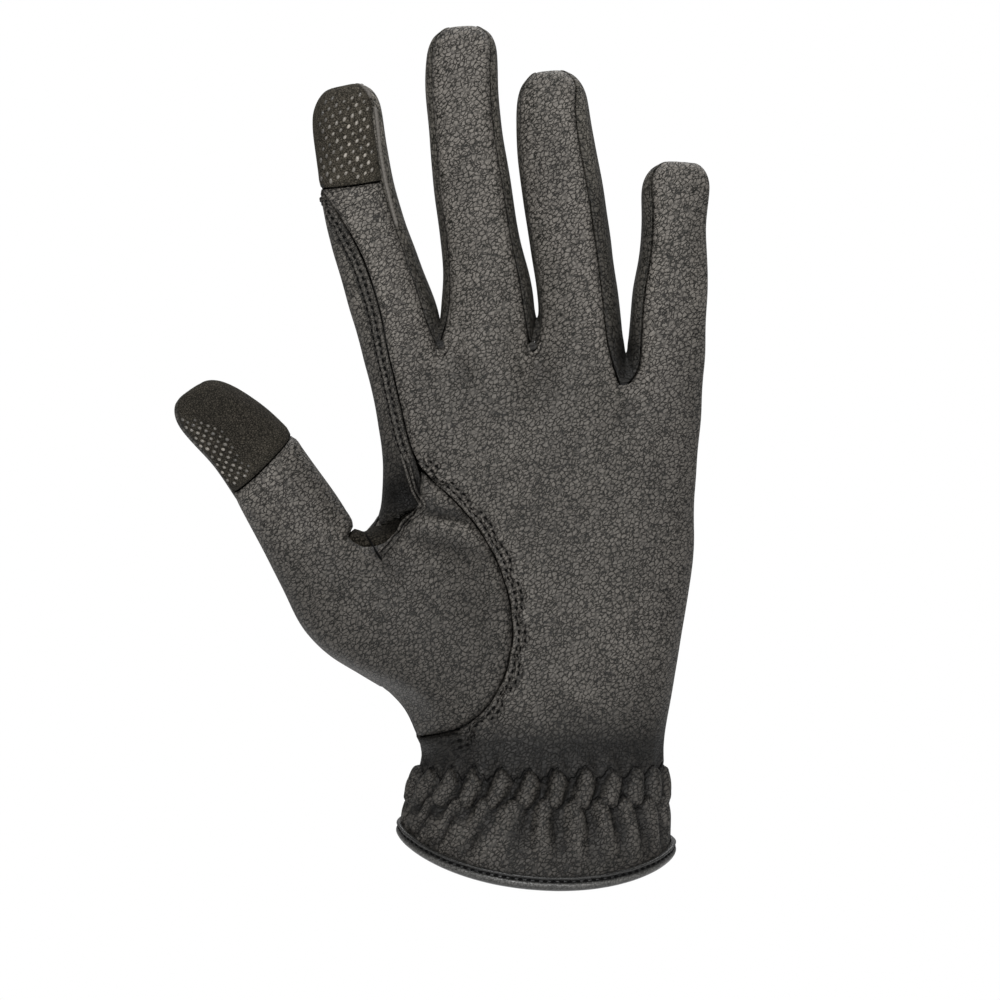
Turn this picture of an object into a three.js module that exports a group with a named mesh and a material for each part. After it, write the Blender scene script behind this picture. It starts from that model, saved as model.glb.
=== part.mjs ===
// Left-hand riding glove of grained synthetic leather, in the shape it has on a spread hand, with
// nothing inside. It is cut and sewn: a palm panel and a back panel with the fronts and backs of the
// four fingers on them, three fourchettes between the fingers, a two-piece thumb set into the palm
// along a round seam, a small gusset in the thumb's crotch, mesh patches on the tips of the index
// finger and thumb, and a bound hem below a shirred wrist. Units are millimetres. +Z points up to the
// fingertips, the palm faces -Y and the thumb points to -X. The origin is the middle of the opening
// that the hand goes in by.
//
// The whole outer surface is worked out first as one closed form, a net of rows and columns whose lines
// run along the seams. Each panel is then the stretch of that form between its seams, drawn in a little
// and given its wall.
import * as THREE from "three";

// Driving dimensions.
const wall = 1.2; // leather
const seamGap = 0.3; // left between two panels that are sewn edge to edge
const palmHeight = 128; // from the hem up to the crotch beside the middle finger
const palmDepth = 28; // through the middle of the palm
const knuckleShift = -1.3; // the middle of the knuckle line, from the middle of the hem
const wristWidth = 61; // across the shirring
const wristDepth = 41; // through the shirring
const wristShift = 2; // the middle of the shirring, from the middle of the hem
const cuffHeight = 26; // from the hem up to the palm
const cuffWidth = 69.5; // across the hem
const cuffDepth = 51; // through the hem
const hemDrop = 9.6; // the palm side of the hem hangs lower than its sides
const hemRoundness = 1.5; // how late round the side that drop begins
const hemRise = 4; // the back of the hem lies higher than its sides
const hemSlant = 5; // the thumb side of the hem lies higher than the other side
const pleatCount = 24; // pleats round the shirred wrist
const pleatDepth = 2.2; // from the top of a pleat to the crease beside it
const tipCap = 9; // length of the rounded end of a finger
const tipEnd = 0.3; // what is left of a finger's width at its very end, where front and back meet
const bindingHeight = 3.6; // hem binding, along the cuff
const bindingWall = 1.1;
const bindingBulge = 0.5; // the binding's roll stands out this much more at its fullest
const bindingBulgeShare = 0.4; // and is fullest at this share of its height
const bindingGap = 0.35; // between the binding and the cuff's edge inside it

// Thumb.
const thumbLength = 60;
const thumbWidth = 24.4;
const thumbDepth = 21;
const thumbLean = 34; // degrees from upright, towards -X
const thumbForward = 7; // the thumb's root lies this far in front of the hand's middle
const thumbCurl = 9; // and its tip this much further forward
const thumbOut = 53.8; // the root's middle, from the middle of the hem
const thumbUp = 68; // the root's middle above the hem
const thenarBulge = 6; // the ball of the thumb stands out from the straight line between palm and thumb
const thenarLift = 0.2; // how steeply it rises from the round seam
const thenarFullness = 0.8; // 1 for a ball that narrows evenly to its ends, less for a fuller one
const thenarEase = 1.15; // how far it keeps the direction in which it leaves the seam and meets the thumb
const thumbPatchShare = 0.57; // where the mesh patch begins, as a share of the thumb's length

// Fingers, from the thumb side. left and right are how far in front of the finger's side the
// seam of the palm panel runs, in degrees round the finger. drop is how far the crotch on the finger's
// left lies below the middle finger's, as a share of the finger's width.
const FINGERS = [
  { name: "index", width: 21.1, depth: 19.5, length: 69.2, lean: 11.9, curl: 7, left: 72, right: 45, drop: 0 },
  { name: "middle", width: 23.9, depth: 20.5, length: 83, lean: 3.4, curl: 9, left: 32, right: 38, drop: 0 },
  { name: "ring", width: 24.5, depth: 20, length: 78.2, lean: 5, curl: 8, left: 16, right: 54, drop: 0 },
  { name: "little", width: 19.7, depth: 18, length: 59.4, lean: -3.9, curl: 6, left: 46, right: 25, drop: 0.65 },
];
const outerDrop = 0.5; // the same for the little finger's outer side

// Between two fingers the fourchette rises from the palm's crotch to the web and falls again to the
// back's: how high in each gap, as shares of the width of the finger on its left, how much of that its
// columns have from front to back, and how much its rows keep, from the web up.
const webRises = [0.3, 0.34, 0.46];
const webColumns = [0, 0.8, 1, 0];
const webRows = [1, 0.52, 0.2];
const indexPatchShare = 0.635; // where the index finger's mesh patch begins
const backSeamAngle = 32; // degrees behind a finger's side at which the back panel's seams run
const fingerSettling = 0.22; // share of a finger's length in which it takes up its own lean

// Sections up each finger. at is a share of the finger's length; wide and deep are shares of its width
// and depth, side is how far the middle is moved towards the little finger, as a share of the width,
// and curl is the share of its curl reached there. skew is how far the section slants up towards the
// little finger.
const SECTIONS = {
  index: [
    { at: 0, wide: 1, deep: 1, side: 0, curl: 0 },
    { at: 0.12, wide: 1.05, deep: 0.96, side: 0.02, curl: 0.03 },
    { at: 0.2, wide: 1.03, deep: 0.94, side: -0.008, curl: 0.07 },
    { at: 0.4, wide: 1, deep: 0.92, side: -0.074, curl: 0.22 },
    { at: 0.5, wide: 0.955, deep: 0.9, side: -0.1, curl: 0.33 },
    { at: 0.635, wide: 0.9, deep: 0.86, side: -0.106, curl: 0.5, skew: -0.066 },
    { at: 0.8, wide: 0.9, deep: 0.84, side: -0.07, curl: 0.73 },
    { at: 0.9, wide: 0.88, deep: 0.8, side: -0.045, curl: 0.87 },
    { at: 1, wide: 0.84, deep: 0.76, side: -0.012, curl: 1 },
  ],
  middle: [
    { at: 0, wide: 1, deep: 1, side: 0, curl: 0 },
    { at: 0.1, wide: 1.02, deep: 0.95, side: 0.035, curl: 0.03 },
    { at: 0.2, wide: 0.952, deep: 0.9, side: 0.042, curl: 0.07 },
    { at: 0.3, wide: 0.872, deep: 0.88, side: 0.012, curl: 0.14 },
    { at: 0.5, wide: 0.86, deep: 0.86, side: -0.05, curl: 0.33 },
    { at: 0.7, wide: 0.788, deep: 0.82, side: -0.09, curl: 0.6 },
    { at: 0.84, wide: 0.805, deep: 0.8, side: -0.1, curl: 0.78 },
    { at: 0.9, wide: 0.785, deep: 0.78, side: -0.078, curl: 0.87 },
    { at: 1, wide: 0.79, deep: 0.74, side: -0.06, curl: 1 },
  ],
  ring: [
    { at: 0, wide: 1, deep: 1, side: 0, curl: 0 },
    { at: 0.12, wide: 0.92, deep: 0.97, side: 0.048, curl: 0.03 },
    { at: 0.2, wide: 0.872, deep: 0.94, side: 0.058, curl: 0.07 },
    { at: 0.3, wide: 0.85, deep: 0.92, side: 0.052, curl: 0.14 },
    { at: 0.42, wide: 0.87, deep: 0.9, side: 0.03, curl: 0.25 },
    { at: 0.6, wide: 0.875, deep: 0.87, side: -0.006, curl: 0.45 },
    { at: 0.8, wide: 0.81, deep: 0.82, side: -0.048, curl: 0.73 },
    { at: 0.9, wide: 0.765, deep: 0.79, side: -0.04, curl: 0.87 },
    { at: 1, wide: 0.7, deep: 0.76, side: -0.054, curl: 1 },
  ],
  little: [
    { at: 0, wide: 1, deep: 1, side: 0, curl: 0 },
    { at: 0.15, wide: 1.02, deep: 0.97, side: -0.015, curl: 0.05 },
    { at: 0.3, wide: 1.01, deep: 0.95, side: -0.03, curl: 0.14 },
    { at: 0.42, wide: 1.005, deep: 0.92, side: -0.03, curl: 0.25 },
    { at: 0.6, wide: 0.89, deep: 0.88, side: -0.018, curl: 0.45 },
    { at: 0.78, wide: 0.84, deep: 0.84, side: -0.044, curl: 0.7 },
    { at: 0.86, wide: 0.9, deep: 0.82, side: -0.05, curl: 0.81 },
    { at: 1, wide: 0.95, deep: 0.78, side: -0.01, curl: 1 },
  ],
  thumb: [
    { at: 0, wide: 1.09, deep: 1, side: 0.01, curl: 0, skew: 0.56 },
    { at: 0.12, wide: 1.05, deep: 0.98, side: 0.055, curl: 0.05, skew: 0.42 },
    { at: 0.3, wide: 0.97, deep: 0.94, side: 0.09, curl: 0.18, skew: 0.25 },
    { at: 0.5, wide: 0.89, deep: 0.9, side: 0.104, curl: 0.36, skew: 0.2 },
    { at: 0.65, wide: 0.84, deep: 0.86, side: 0.112, curl: 0.54, skew: 0.15 },
    { at: 0.78, wide: 0.79, deep: 0.82, side: 0.055, curl: 0.7, skew: 0.08 },
    { at: 0.88, wide: 0.76, deep: 0.79, side: -0.02, curl: 0.84, skew: 0 },
    { at: 1, wide: 0.74, deep: 0.76, side: -0.07, curl: 1, skew: 0 },
  ],
};

// The index finger's seam leaves the finger's side below the patch and curves round to its front:
// degrees in front of the side, up the finger.
const INDEX_SEAM = [
  { at: 0, angle: 72 },
  { at: 0.36, angle: 73 },
  { at: 0.44, angle: 67 },
  { at: 0.54, angle: 50 },
  { at: 0.635, angle: 2 },
  { at: 1, angle: 2 },
];

// The thumb's outer seam lies behind its side at the root and comes round to the front at the tip, in
// degrees.
const THUMB_SEAM = [
  { at: 0, angle: -16 },
  { at: 0.45, angle: -12 },
  { at: 0.6, angle: 12 },
  { at: 1, angle: 24 },
];

// Sections of the hand's body. at is a share of palmHeight; left and right are the sides, as shares of
// half the knuckle line's width from its middle; front and back are shares of half palmDepth.
const BODY = [
  { at: 0.19, left: -0.665, right: 0.775, front: 1.44, back: 1.34 },
  { at: 0.285, left: -0.71, right: 0.82, front: 1.36, back: 1.22 },
  { at: 0.386, left: -0.755, right: 0.868, front: 1.2, back: 1.09 },
  { at: 0.488, left: -0.79, right: 0.915, front: 1.08, back: 1.02 },
  { at: 0.59, left: -0.825, right: 0.958, front: 1.0, back: 0.98 },
  { at: 0.691, left: -0.86, right: 0.958, front: 0.95, back: 0.94 },
  { at: 0.793, left: -0.878, right: 0.982, front: 0.93, back: 0.91 },
  { at: 0.895, left: -0.925, right: 1.01, front: 0.9, back: 0.86 },
  { at: 1, left: -1, right: 1, front: 0.8, back: 0.76 },
];

// Rings of the cuff, from the palm down to the hem. at is a share of cuffHeight; flare runs from 0 at
// the wrist's own width and depth to 1 at the hem's; puff is how much of pleatDepth the pleats have
// there, and lap moves them round by a share of a pleat.
const CUFF = [
  { at: 0.83, flare: 0.1, puff: 0.25, lap: 0 },
  { at: 0.72, flare: 0.26, puff: 1, lap: 0 },
  { at: 0.57, flare: 0.58, puff: 0.85, lap: 0 },
  { at: 0.42, flare: 0.66, puff: 1, lap: 1 / 3 },
  { at: 0.27, flare: 0.84, puff: 0.62, lap: 1 / 3 },
  { at: 0.14, flare: 0.93, puff: 0.1, lap: 1 / 3 },
  { at: 0, flare: 1, puff: 0, lap: 1 / 3 },
];

// The palm panel's edge on the thumb's side, from the foot of the index finger down to the web, then
// round the ball of the thumb to the wrist. x is a share of half the knuckle line's width, z of
// palmHeight.
const INDEX_SIDE_EDGE = [
  { x: -0.806, z: 0.948 },
  { x: -0.766, z: 0.89 },
  { x: -0.732, z: 0.826 },
  { x: -0.66, z: 0.755 },
];
const THUMB_ARC = [
  { x: -0.66, z: 0.755 },
  { x: -0.38, z: 0.672 },
  { x: -0.195, z: 0.575 },
  { x: -0.094, z: 0.447 },
  { x: -0.12, z: 0.36 },
  { x: -0.215, z: 0.285 },
  { x: -0.355, z: 0.232 },
  { x: -0.52, z: 0.217 },
  { x: -0.665, z: 0.21 },
];

// The web between thumb and index finger, from the palm panel's corner round to the back. x and z as
// above, y is a share of half palmDepth. toX, toY and toZ are the direction in which the thumb's
// leather leaves each point.
const WEB = [
  { x: -0.612, z: 0.678, y: -0.62, toX: -0.3, toY: 0.35, toZ: -1 },
  { x: -0.75, z: 0.664, y: -0.42, toX: -0.45, toY: 0.05, toZ: -0.9 },
  { x: -0.875, z: 0.636, y: -0.05, toX: -1, toY: -0.1, toZ: -0.2 },
  { x: -0.895, z: 0.64, y: 0.3, toX: -1, toY: -0.2, toZ: 0 },
  { x: -0.83, z: 0.68, y: 0.66, toX: -0.95, toY: 0, toZ: -0.3 },
];
const HEEL = { toX: -0.12, toY: 0, toZ: 1 }; // the same where the round seam meets the wrist
const heelTurn = 3; // how late along the thumb's back that direction turns from the web's to the heel's

// Dents and folds that show when the glove is worn. Each is a crease between two points, in shares as
// above, with its depth as a share of the wall and its half width as a share of palmHeight. side is -1
// on the palm side, 1 on the back.
const FOLDS = [
  { x1: -0.6, z1: 0.668, x2: -0.3, z2: 0.64, deep: 1.3, wide: 0.03, side: -1 }, // below the web
  { x1: -0.75, z1: 0.6, x2: -0.35, z2: 0.575, deep: 0.7, wide: 0.035, side: -1 }, // over the thumb's ball
  { x1: 0.15, z1: 0.24, x2: 0.6, z2: 0.25, deep: 0.6, wide: 0.04, side: -1 }, // at the heel of the hand
  { x1: -0.2, z1: 0.55, x2: 0.5, z2: 0.68, deep: 0.8, wide: 0.09, side: -1 }, // hollow of the palm
];

// How fine the net is.
const frontColumnCount = 5; // columns on the front and on the back of a finger
const sideColumnCount = 3; // columns on a fourchette
const indexSideColumnCount = WEB.length; // columns round the outer side of the index finger, down to the web
const fingerRowCount = 9; // rows up a finger, below its rounded end
const capAngles = [26, 50, 72, 90]; // rows over a rounded end, as degrees round it
const rootReach = [1, 0.62, 0.3, 0.1, 0.02]; // how much of the finger roots' shape each row below them keeps
const webRowCount = 4; // rows from the finger crotches down to the web
const arcRowCount = 9; // rows along the round thumb seam
const thenarRowCount = 5; // rows over the ball of the thumb, up to the thumb's root
const thumbRowCount = 7;
const pleatPointCount = 3;
const evenSteps = 48; // steps by which the length round a section is measured
const tiltReach = 0.02; // share of a limb's length over which its slope is measured
const sharpestCorner = 0.4; // mitres and walls at a sharp corner grow by 1 over this at most

// The ovals of the sections. Squareness 2 is an ellipse; angles are in degrees, as ovalPoint takes them.
const squareness = 2.25; // of the hand
const tubeSquareness = 2.1; // of fingers, thumb and cuff
const ulnarFrontAngle = 335; // where the hand's palm side ends, towards the little finger
const ulnarBackAngle = 390; // and where its back begins
const radialBackAngle = 148; // where its back ends, on the index finger's side
const radialHeelAngle = 180; // and where it ends at the wrist
const cuffFront = 0.52; // share of the cuff's depth that lies in front of its middle
const seamNarrowing = 0.75; // share of a finger's seam angle that is lost towards its very end
const thumbInnerAngle = { root: 38, tip: 20 }; // where the thumb's front ends, in front of its inner side
const thumbBackInnerAngle = { root: 30, tip: 24 }; // and where its back begins, behind it

const halfTurn = 180; // degrees
const fullTurn = 360;
const radians = THREE.MathUtils.degToRad;
const degrees = THREE.MathUtils.radToDeg;
const lerp = THREE.MathUtils.lerp;
const smooth = (t) => THREE.MathUtils.smoothstep(t, 0, 1);
const point = (x, y, z) => new THREE.Vector3(x, y, z);
const between = (a, b, t) => a.clone().lerp(b, t);
const steps = (count) => Array.from({ length: count + 1 }, (_, i) => i / count);

// The value of a table's column at a place between its rows, on a smooth curve through them. A row that
// leaves the column out has 0 there.
function tableValue(table, at, column) {
  const last = table.length - 1;
  const cell = (i) => table[i][column] ?? 0;
  if (at <= table[0].at) return cell(0);
  if (at >= table[last].at) return cell(last);
  const i = table.findIndex((row) => row.at > at) - 1;
  const slope = (a, b) => (cell(b) - cell(a)) / (table[b].at - table[a].at);
  const here = slope(i, i + 1);
  const start = i === 0 ? here : (slope(i - 1, i) + here) / 2;
  const end = i + 1 === last ? here : (here + slope(i + 1, i + 2)) / 2;
  const span = table[i + 1].at - table[i].at;
  const t = (at - table[i].at) / span;
  return (
    cell(i) * (1 + 2 * t) * (1 - t) ** 2 +
    start * span * t * (1 - t) ** 2 +
    cell(i + 1) * t * t * (3 - 2 * t) +
    end * span * t * t * (t - 1)
  );
}

// Oval sections: angle 0 is the little finger's side, 90 the back, 180 the thumb's side and 270 the palm.
function ovalPoint(section, angle) {
  const bulge = 2 / (section.squareness);
  const c = Math.cos(radians(angle));
  const s = Math.sin(radians(angle));
  const across = Math.sign(c) * Math.abs(c) ** bulge * section.halfWidth;
  const depth = Math.sign(s) * Math.abs(s) ** bulge * (s < 0 ? section.front : section.back);
  return section.centre
    .clone()
    .addScaledVector(section.across, across)
    .addScaledVector(section.through, depth);
}

// Angles that split the oval between two angles into stretches of equal length.
function evenAngles(section, from, to, count) {
  const angles = steps(evenSteps).map((t) => lerp(from, to, t));
  const lengths = [0];
  for (let i = 1; i <= evenSteps; i++) {
    const step = ovalPoint(section, angles[i]).distanceTo(ovalPoint(section, angles[i - 1]));
    lengths.push(lengths[i - 1] + step);
  }
  return steps(count).map((t) => {
    const goal = t * lengths[evenSteps];
    const i = Math.min(evenSteps - 1, Math.max(0, lengths.findIndex((l) => l > goal) - 1));
    if (t === 1) return to;
    return lerp(angles[i], angles[i + 1], (goal - lengths[i]) / (lengths[i + 1] - lengths[i]));
  });
}

const arcPoints = (section, from, to, count) =>
  evenAngles(section, from, to, count).map((angle) => ovalPoint(section, angle));

// Knuckle line: the crotches between the fingers, and its two ends.
const knuckleWidth = FINGERS.reduce((sum, finger) => sum + finger.width, 0);
const halfKnuckles = knuckleWidth / 2;
const crotches = [];
{
  let x = knuckleShift - halfKnuckles;
  for (const finger of FINGERS) {
    crotches.push(point(x, 0, palmHeight - finger.drop * finger.width));
    x += finger.width;
  }
  crotches.push(point(x, 0, palmHeight - outerDrop * FINGERS.at(-1).width));
}
const handX = (share) => knuckleShift + share * halfKnuckles;

// The outer surface as a net: faces of three or four corners, each with the name of its panel.
const form = { points: [], keys: new Map(), faces: [] };

function corner(p) {
  const key = [p.x, p.y, p.z].map((v) => v.toFixed(3).replace("-0.000", "0.000")).join();
  if (!form.keys.has(key)) {
    form.keys.set(key, form.points.length);
    form.points.push(p.clone());
  }
  return form.keys.get(key);
}

function addFace(points, panel) {
  const corners = points.map(corner).filter((c, i, all) => c !== all[(i + 1) % all.length]);
  if (corners.length > 2) form.faces.push({ corners, panel });
}

// Adds a grid whose rows run upwards and whose columns run with the oval's angle. panelOf names each
// cell's panel.
function addGrid(rows, panelOf) {
  for (let r = 0; r + 1 < rows.length; r++)
    for (let c = 0; c + 1 < rows[r].length; c++)
      addFace([rows[r][c], rows[r][c + 1], rows[r + 1][c + 1], rows[r + 1][c]], panelOf(r, c));
}

// Joins two rows that have different numbers of points, the lower one first.
function addZip(low, high, panel) {
  let i = 0;
  let j = 0;
  while (i < low.length - 1 || j < high.length - 1) {
    const nextLow = (i + 1) / (low.length - 1);
    const nextHigh = (j + 1) / (high.length - 1);
    if (j === high.length - 1 || (i < low.length - 1 && nextLow <= nextHigh)) {
      addFace([low[i], low[i + 1], high[j]], panel);
      i++;
    } else {
      addFace([low[i], high[j + 1], high[j]], panel);
      j++;
    }
  }
}

// A section of a finger or thumb at a share of its length. limb gives root, along, across, width, depth
// and curl.
function limbSection(limb, share) {
  const table = SECTIONS[limb.name];
  const capStart = 1 - tipCap / limb.length;
  const over = Math.max(0, (share - capStart) / (1 - capStart));
  const round = Math.sqrt(Math.max(0, 1 - over * over));
  const curl = (at) => limb.curl * tableValue(table, Math.min(1, Math.max(0, at)), "curl");
  const centre = limb.root
    .clone()
    .addScaledVector(limb.along, limb.length * share)
    .addScaledVector(limb.across, limb.width * tableValue(table, share, "side"));
  centre.y -= curl(share);
  const tilt = (curl(share + tiltReach) - curl(share - tiltReach)) / (2 * tiltReach * limb.length);
  const through = point(0, 1, 0).addScaledVector(limb.along, tilt).normalize();
  const halfDepth = (limb.depth / 2) * tableValue(table, share, "deep") * round;
  const settle = smooth(share / fingerSettling);
  const skew = tableValue(table, share, "skew");
  return {
    centre,
    across: between(limb.rootAcross, limb.across, settle).normalize().addScaledVector(limb.along, skew),
    through,
    halfWidth: (limb.width / 2) * tableValue(table, share, "wide") * (tipEnd + (1 - tipEnd) * round),
    front: halfDepth,
    back: halfDepth,
    squareness: tubeSquareness,
  };
}

// Shares of a limb's length at which it has rows. One row falls on the lower edge of its mesh patch, if
// it has one.
function limbShares(limb, rows) {
  const cap = tipCap / limb.length;
  const below = patchRow(limb, rows);
  const shaft = steps(rows).map((_, r) =>
    r <= below
      ? (limb.patchShare * r) / below
      : lerp(limb.patchShare, 1 - cap, (r - below) / (rows - below)),
  );
  return [...shaft, ...capAngles.map((angle) => 1 - cap * (1 - Math.sin(radians(angle))))];
}

// The row at which a limb's mesh patch begins.
function patchRow(limb, rows) {
  return Math.round((limb.patchShare / (1 - tipCap / limb.length)) * rows);
}

// One ring of points round a limb: front, the side towards the little finger, back, and the side
// towards the thumb. At the limb's very end the front and back meet on a line.
function limbRing(section, angles, columns, closed) {
  const left = halfTurn + angles.left;
  const right = fullTurn - angles.right;
  const backRight = fullTurn + angles.backRight;
  const backLeft = fullTurn + halfTurn - angles.backLeft;
  if (closed) {
    const ends = [ovalPoint(section, halfTurn), ovalPoint(section, 0)];
    return [
      ...steps(columns.front).map((t) => between(ends[0], ends[1], t)),
      ...Array(columns.right).fill(ends[1]),
      ...steps(columns.back).slice(1).map((t) => between(ends[1], ends[0], t)),
      ...Array(columns.left).fill(ends[0]),
    ];
  }
  return [
    ...arcPoints(section, left, right, columns.front),
    ...arcPoints(section, right, backRight, columns.right).slice(1),
    ...arcPoints(section, backRight, backLeft, columns.back).slice(1),
    ...arcPoints(section, backLeft, fullTurn + left, columns.left).slice(1),
  ];
}

// Fingers. A finger's first ring is its root on the knuckle line, where it shares its sides with its
// neighbours.
const fingerLimbs = FINGERS.map((finger, i) => {
  const [leftCrotch, rightCrotch] = [crotches[i], crotches[i + 1]];
  const lean = radians(finger.lean);
  return {
    ...finger,
    patchShare: indexPatchShare,
    root: between(leftCrotch, rightCrotch, 0.5),
    along: point(-Math.sin(lean), 0, Math.cos(lean)),
    across: point(Math.cos(lean), 0, Math.sin(lean)),
    rootAcross: rightCrotch.clone().sub(leftCrotch).normalize(),
    columns: {
      front: frontColumnCount,
      right: sideColumnCount,
      back: frontColumnCount,
      left: i === 0 ? indexSideColumnCount : sideColumnCount,
    },
  };
});

function fingerAngles(limb, share) {
  const over = Math.max(0, (share - 1) * (limb.length / tipCap) + 1);
  const narrow = 1 - seamNarrowing * over;
  const outer = limb.name === "index";
  return {
    left: outer ? tableValue(INDEX_SEAM, share, "angle") : limb.left * narrow,
    right: limb.right * narrow,
    backLeft: backSeamAngle * (outer ? 1 : narrow),
    backRight: backSeamAngle * narrow,
  };
}

const fingerRings = fingerLimbs.map((limb) =>
  limbShares(limb, fingerRowCount).map((share) =>
    limbRing(limbSection(limb, share), fingerAngles(limb, share), limb.columns, share === 1),
  ),
);

// Neighbouring fingers share the points of their facing sides at the root.
for (let i = 0; i < FINGERS.length - 1; i++) {
  const right = fingerRings[i][0];
  const left = fingerRings[i + 1][0];
  const start = frontColumnCount;
  for (let k = 0; k <= sideColumnCount; k++) {
    const shared = between(right[start + k], left[left.length - 1 - k], 0.5);
    right[start + k] = shared;
    left[left.length - 1 - k] = shared;
  }
  left[0] = left[left.length - 1];
}

// The web between them rises, and takes the rows above it along.
webRises.forEach((share, i) => {
  webRows.forEach((kept, r) => {
    const right = fingerRings[i][r];
    const left = fingerRings[i + 1][r];
    webColumns.forEach((part, k) => {
      const rise = share * FINGERS[i].width * part * kept;
      const pair = new Set([right[frontColumnCount + k], left[left.length - 1 - k]]);
      pair.forEach((p) => (p.z += rise));
    });
  });
});

fingerRings.forEach((rings, i) => {
  const columns = fingerLimbs[i].columns;
  const rightStart = columns.front;
  const backStart = rightStart + columns.right;
  const leftStart = backStart + columns.back;
  const gapNames = ["fourchette_index_middle", "fourchette_middle_ring", "fourchette_ring_little"];
  addGrid(rings, (r, c) => {
    const onPatch = i === 0 && r >= patchRow(fingerLimbs[0], fingerRowCount);
    if (c < rightStart) return onPatch ? "index_touch_patch" : "palm_panel";
    if (c < backStart && i === FINGERS.length - 1) return c < backStart - 1 ? "palm_panel" : "back_panel";
    if (c < backStart) return gapNames[i];
    if (c < leftStart) return "back_panel";
    if (i === 0) return onPatch ? "index_touch_patch" : "back_panel";
    return gapNames[i - 1];
  });
});

// Body of the hand.
function bodySection(z) {
  const share = z / palmHeight;
  const left = handX(tableValue(BODY, share, "left"));
  const right = handX(tableValue(BODY, share, "right"));
  return {
    centre: point((left + right) / 2, 0, z),
    across: point(1, 0, 0),
    through: point(0, 1, 0),
    halfWidth: (right - left) / 2,
    front: (palmDepth / 2) * tableValue(BODY, share, "front"),
    back: (palmDepth / 2) * tableValue(BODY, share, "back"),
    squareness,
  };
}

// The point of the body's palm side (side -1) or back (side 1) at x and z.
function bodyPoint(x, z, side) {
  const section = bodySection(z);
  const share = Math.min(1, Math.abs(x - section.centre.x) / section.halfWidth);
  const depth = (1 - share ** squareness) ** (1 / squareness);
  return point(x, side * depth * (side < 0 ? section.front : section.back), z);
}

const curveThrough = (table) =>
  new THREE.CatmullRomCurve3(
    table.map((row) => point(handX(row.x), 0, palmHeight * row.z)),
    false,
    "centripetal",
  );

const rowCount = webRowCount + arcRowCount;
const ulnarAngles = steps(sideColumnCount).map((t) => lerp(ulnarFrontAngle, ulnarBackAngle, t));

// Where each row of the body meets the palm panel's edge, from the finger roots down.
const frontRoots = [
  ...fingerRings.flatMap((rings, i) => rings[0].slice(i === 0 ? 0 : 1, frontColumnCount + 1)),
];
const indexEdge = curveThrough([
  { x: (frontRoots[0].x - knuckleShift) / halfKnuckles, z: frontRoots[0].z / palmHeight },
  ...INDEX_SIDE_EDGE,
]);
const thumbArc = curveThrough(THUMB_ARC);
const palmEdge = [
  ...indexEdge.getSpacedPoints(webRowCount),
  ...thumbArc.getSpacedPoints(arcRowCount).slice(1),
];
const backRoots = [...fingerRings]
  .reverse()
  .flatMap((rings, i) => {
    const start = frontColumnCount + sideColumnCount;
    return rings[0].slice(start + (i === 0 ? 0 : 1), start + frontColumnCount + 1);
  });
const ulnarRoots = fingerRings.at(-1)[0].slice(frontColumnCount, frontColumnCount + sideColumnCount + 1);
const radialRoots = fingerRings[0][0].slice(2 * frontColumnCount + sideColumnCount);

// Heights at which the rows reach the little finger's side, and the thumb's side of the back.
const ulnarTop = crotches.at(-1).z;
const ulnarHeight = (r) => lerp(ulnarTop, cuffHeight, r / rowCount);
const webBack = WEB[WEB.length - 1];
function radialBackHeight(r) {
  const top = radialRoots[0].z;
  const web = palmHeight * webBack.z;
  if (r <= webRowCount) return lerp(top, web, r / webRowCount);
  return lerp(web, palmEdge[rowCount].z, (r - webRowCount) / arcRowCount);
}
const radialAngleAt = (r) => lerp(radialBackAngle, radialHeelAngle, smooth((r - webRowCount) / arcRowCount));

// One row of a side of the body: from one edge point to the other, spread as the finger roots are near
// the top.
function bodyRow(r, from, to, roots, side) {
  const span = roots[roots.length - 1].x - roots[0].x;
  const even = smooth(r / rootReach.length);
  return roots.map((root, c) => {
    const spread = lerp((root.x - roots[0].x) / span, c / (roots.length - 1), even);
    return bodyPoint(lerp(from.x, to.x, spread), lerp(from.z, to.z, spread), side);
  });
}

const bodyRows = [];
for (let r = 0; r <= rowCount; r++) {
  const ulnar = bodySection(ulnarHeight(r));
  const ulnarPoints = ulnarAngles.map((angle) => ovalPoint(ulnar, angle));
  const edge = bodyPoint(palmEdge[r].x, palmEdge[r].z, -1);
  const front = bodyRow(r, edge, ulnarPoints[0], frontRoots, -1);
  const backEdge = ovalPoint(bodySection(radialBackHeight(r)), radialAngleAt(r));
  const back = bodyRow(r, ulnarPoints[sideColumnCount], backEdge, backRoots, 1);
  const radialEdge = steps(indexSideColumnCount).map((t) => {
    const section = bodySection(lerp(backEdge.z, edge.z, t));
    const reach = (edge.x - section.centre.x) / section.halfWidth;
    const edgeAngle = degrees(Math.acos(Math.min(1, -reach) ** (squareness / 2)));
    return ovalPoint(section, lerp(radialAngleAt(r), halfTurn + edgeAngle, t));
  });
  bodyRows.push({ front, ulnar: ulnarPoints, back, radial: radialEdge });
}

// The rows just below the fingers keep some of the shape of the finger roots.
const rootShapes = { front: frontRoots, ulnar: ulnarRoots, back: backRoots, radial: radialRoots };
for (const [part, roots] of Object.entries(rootShapes)) {
  const change = roots.map((root, c) => root.clone().sub(bodyRows[0][part][c]));
  rootReach.forEach((reach, r) => {
    bodyRows[r][part].forEach((p, c) => p.addScaledVector(change[c], reach));
  });
  bodyRows[0][part] = roots;
}

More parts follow.
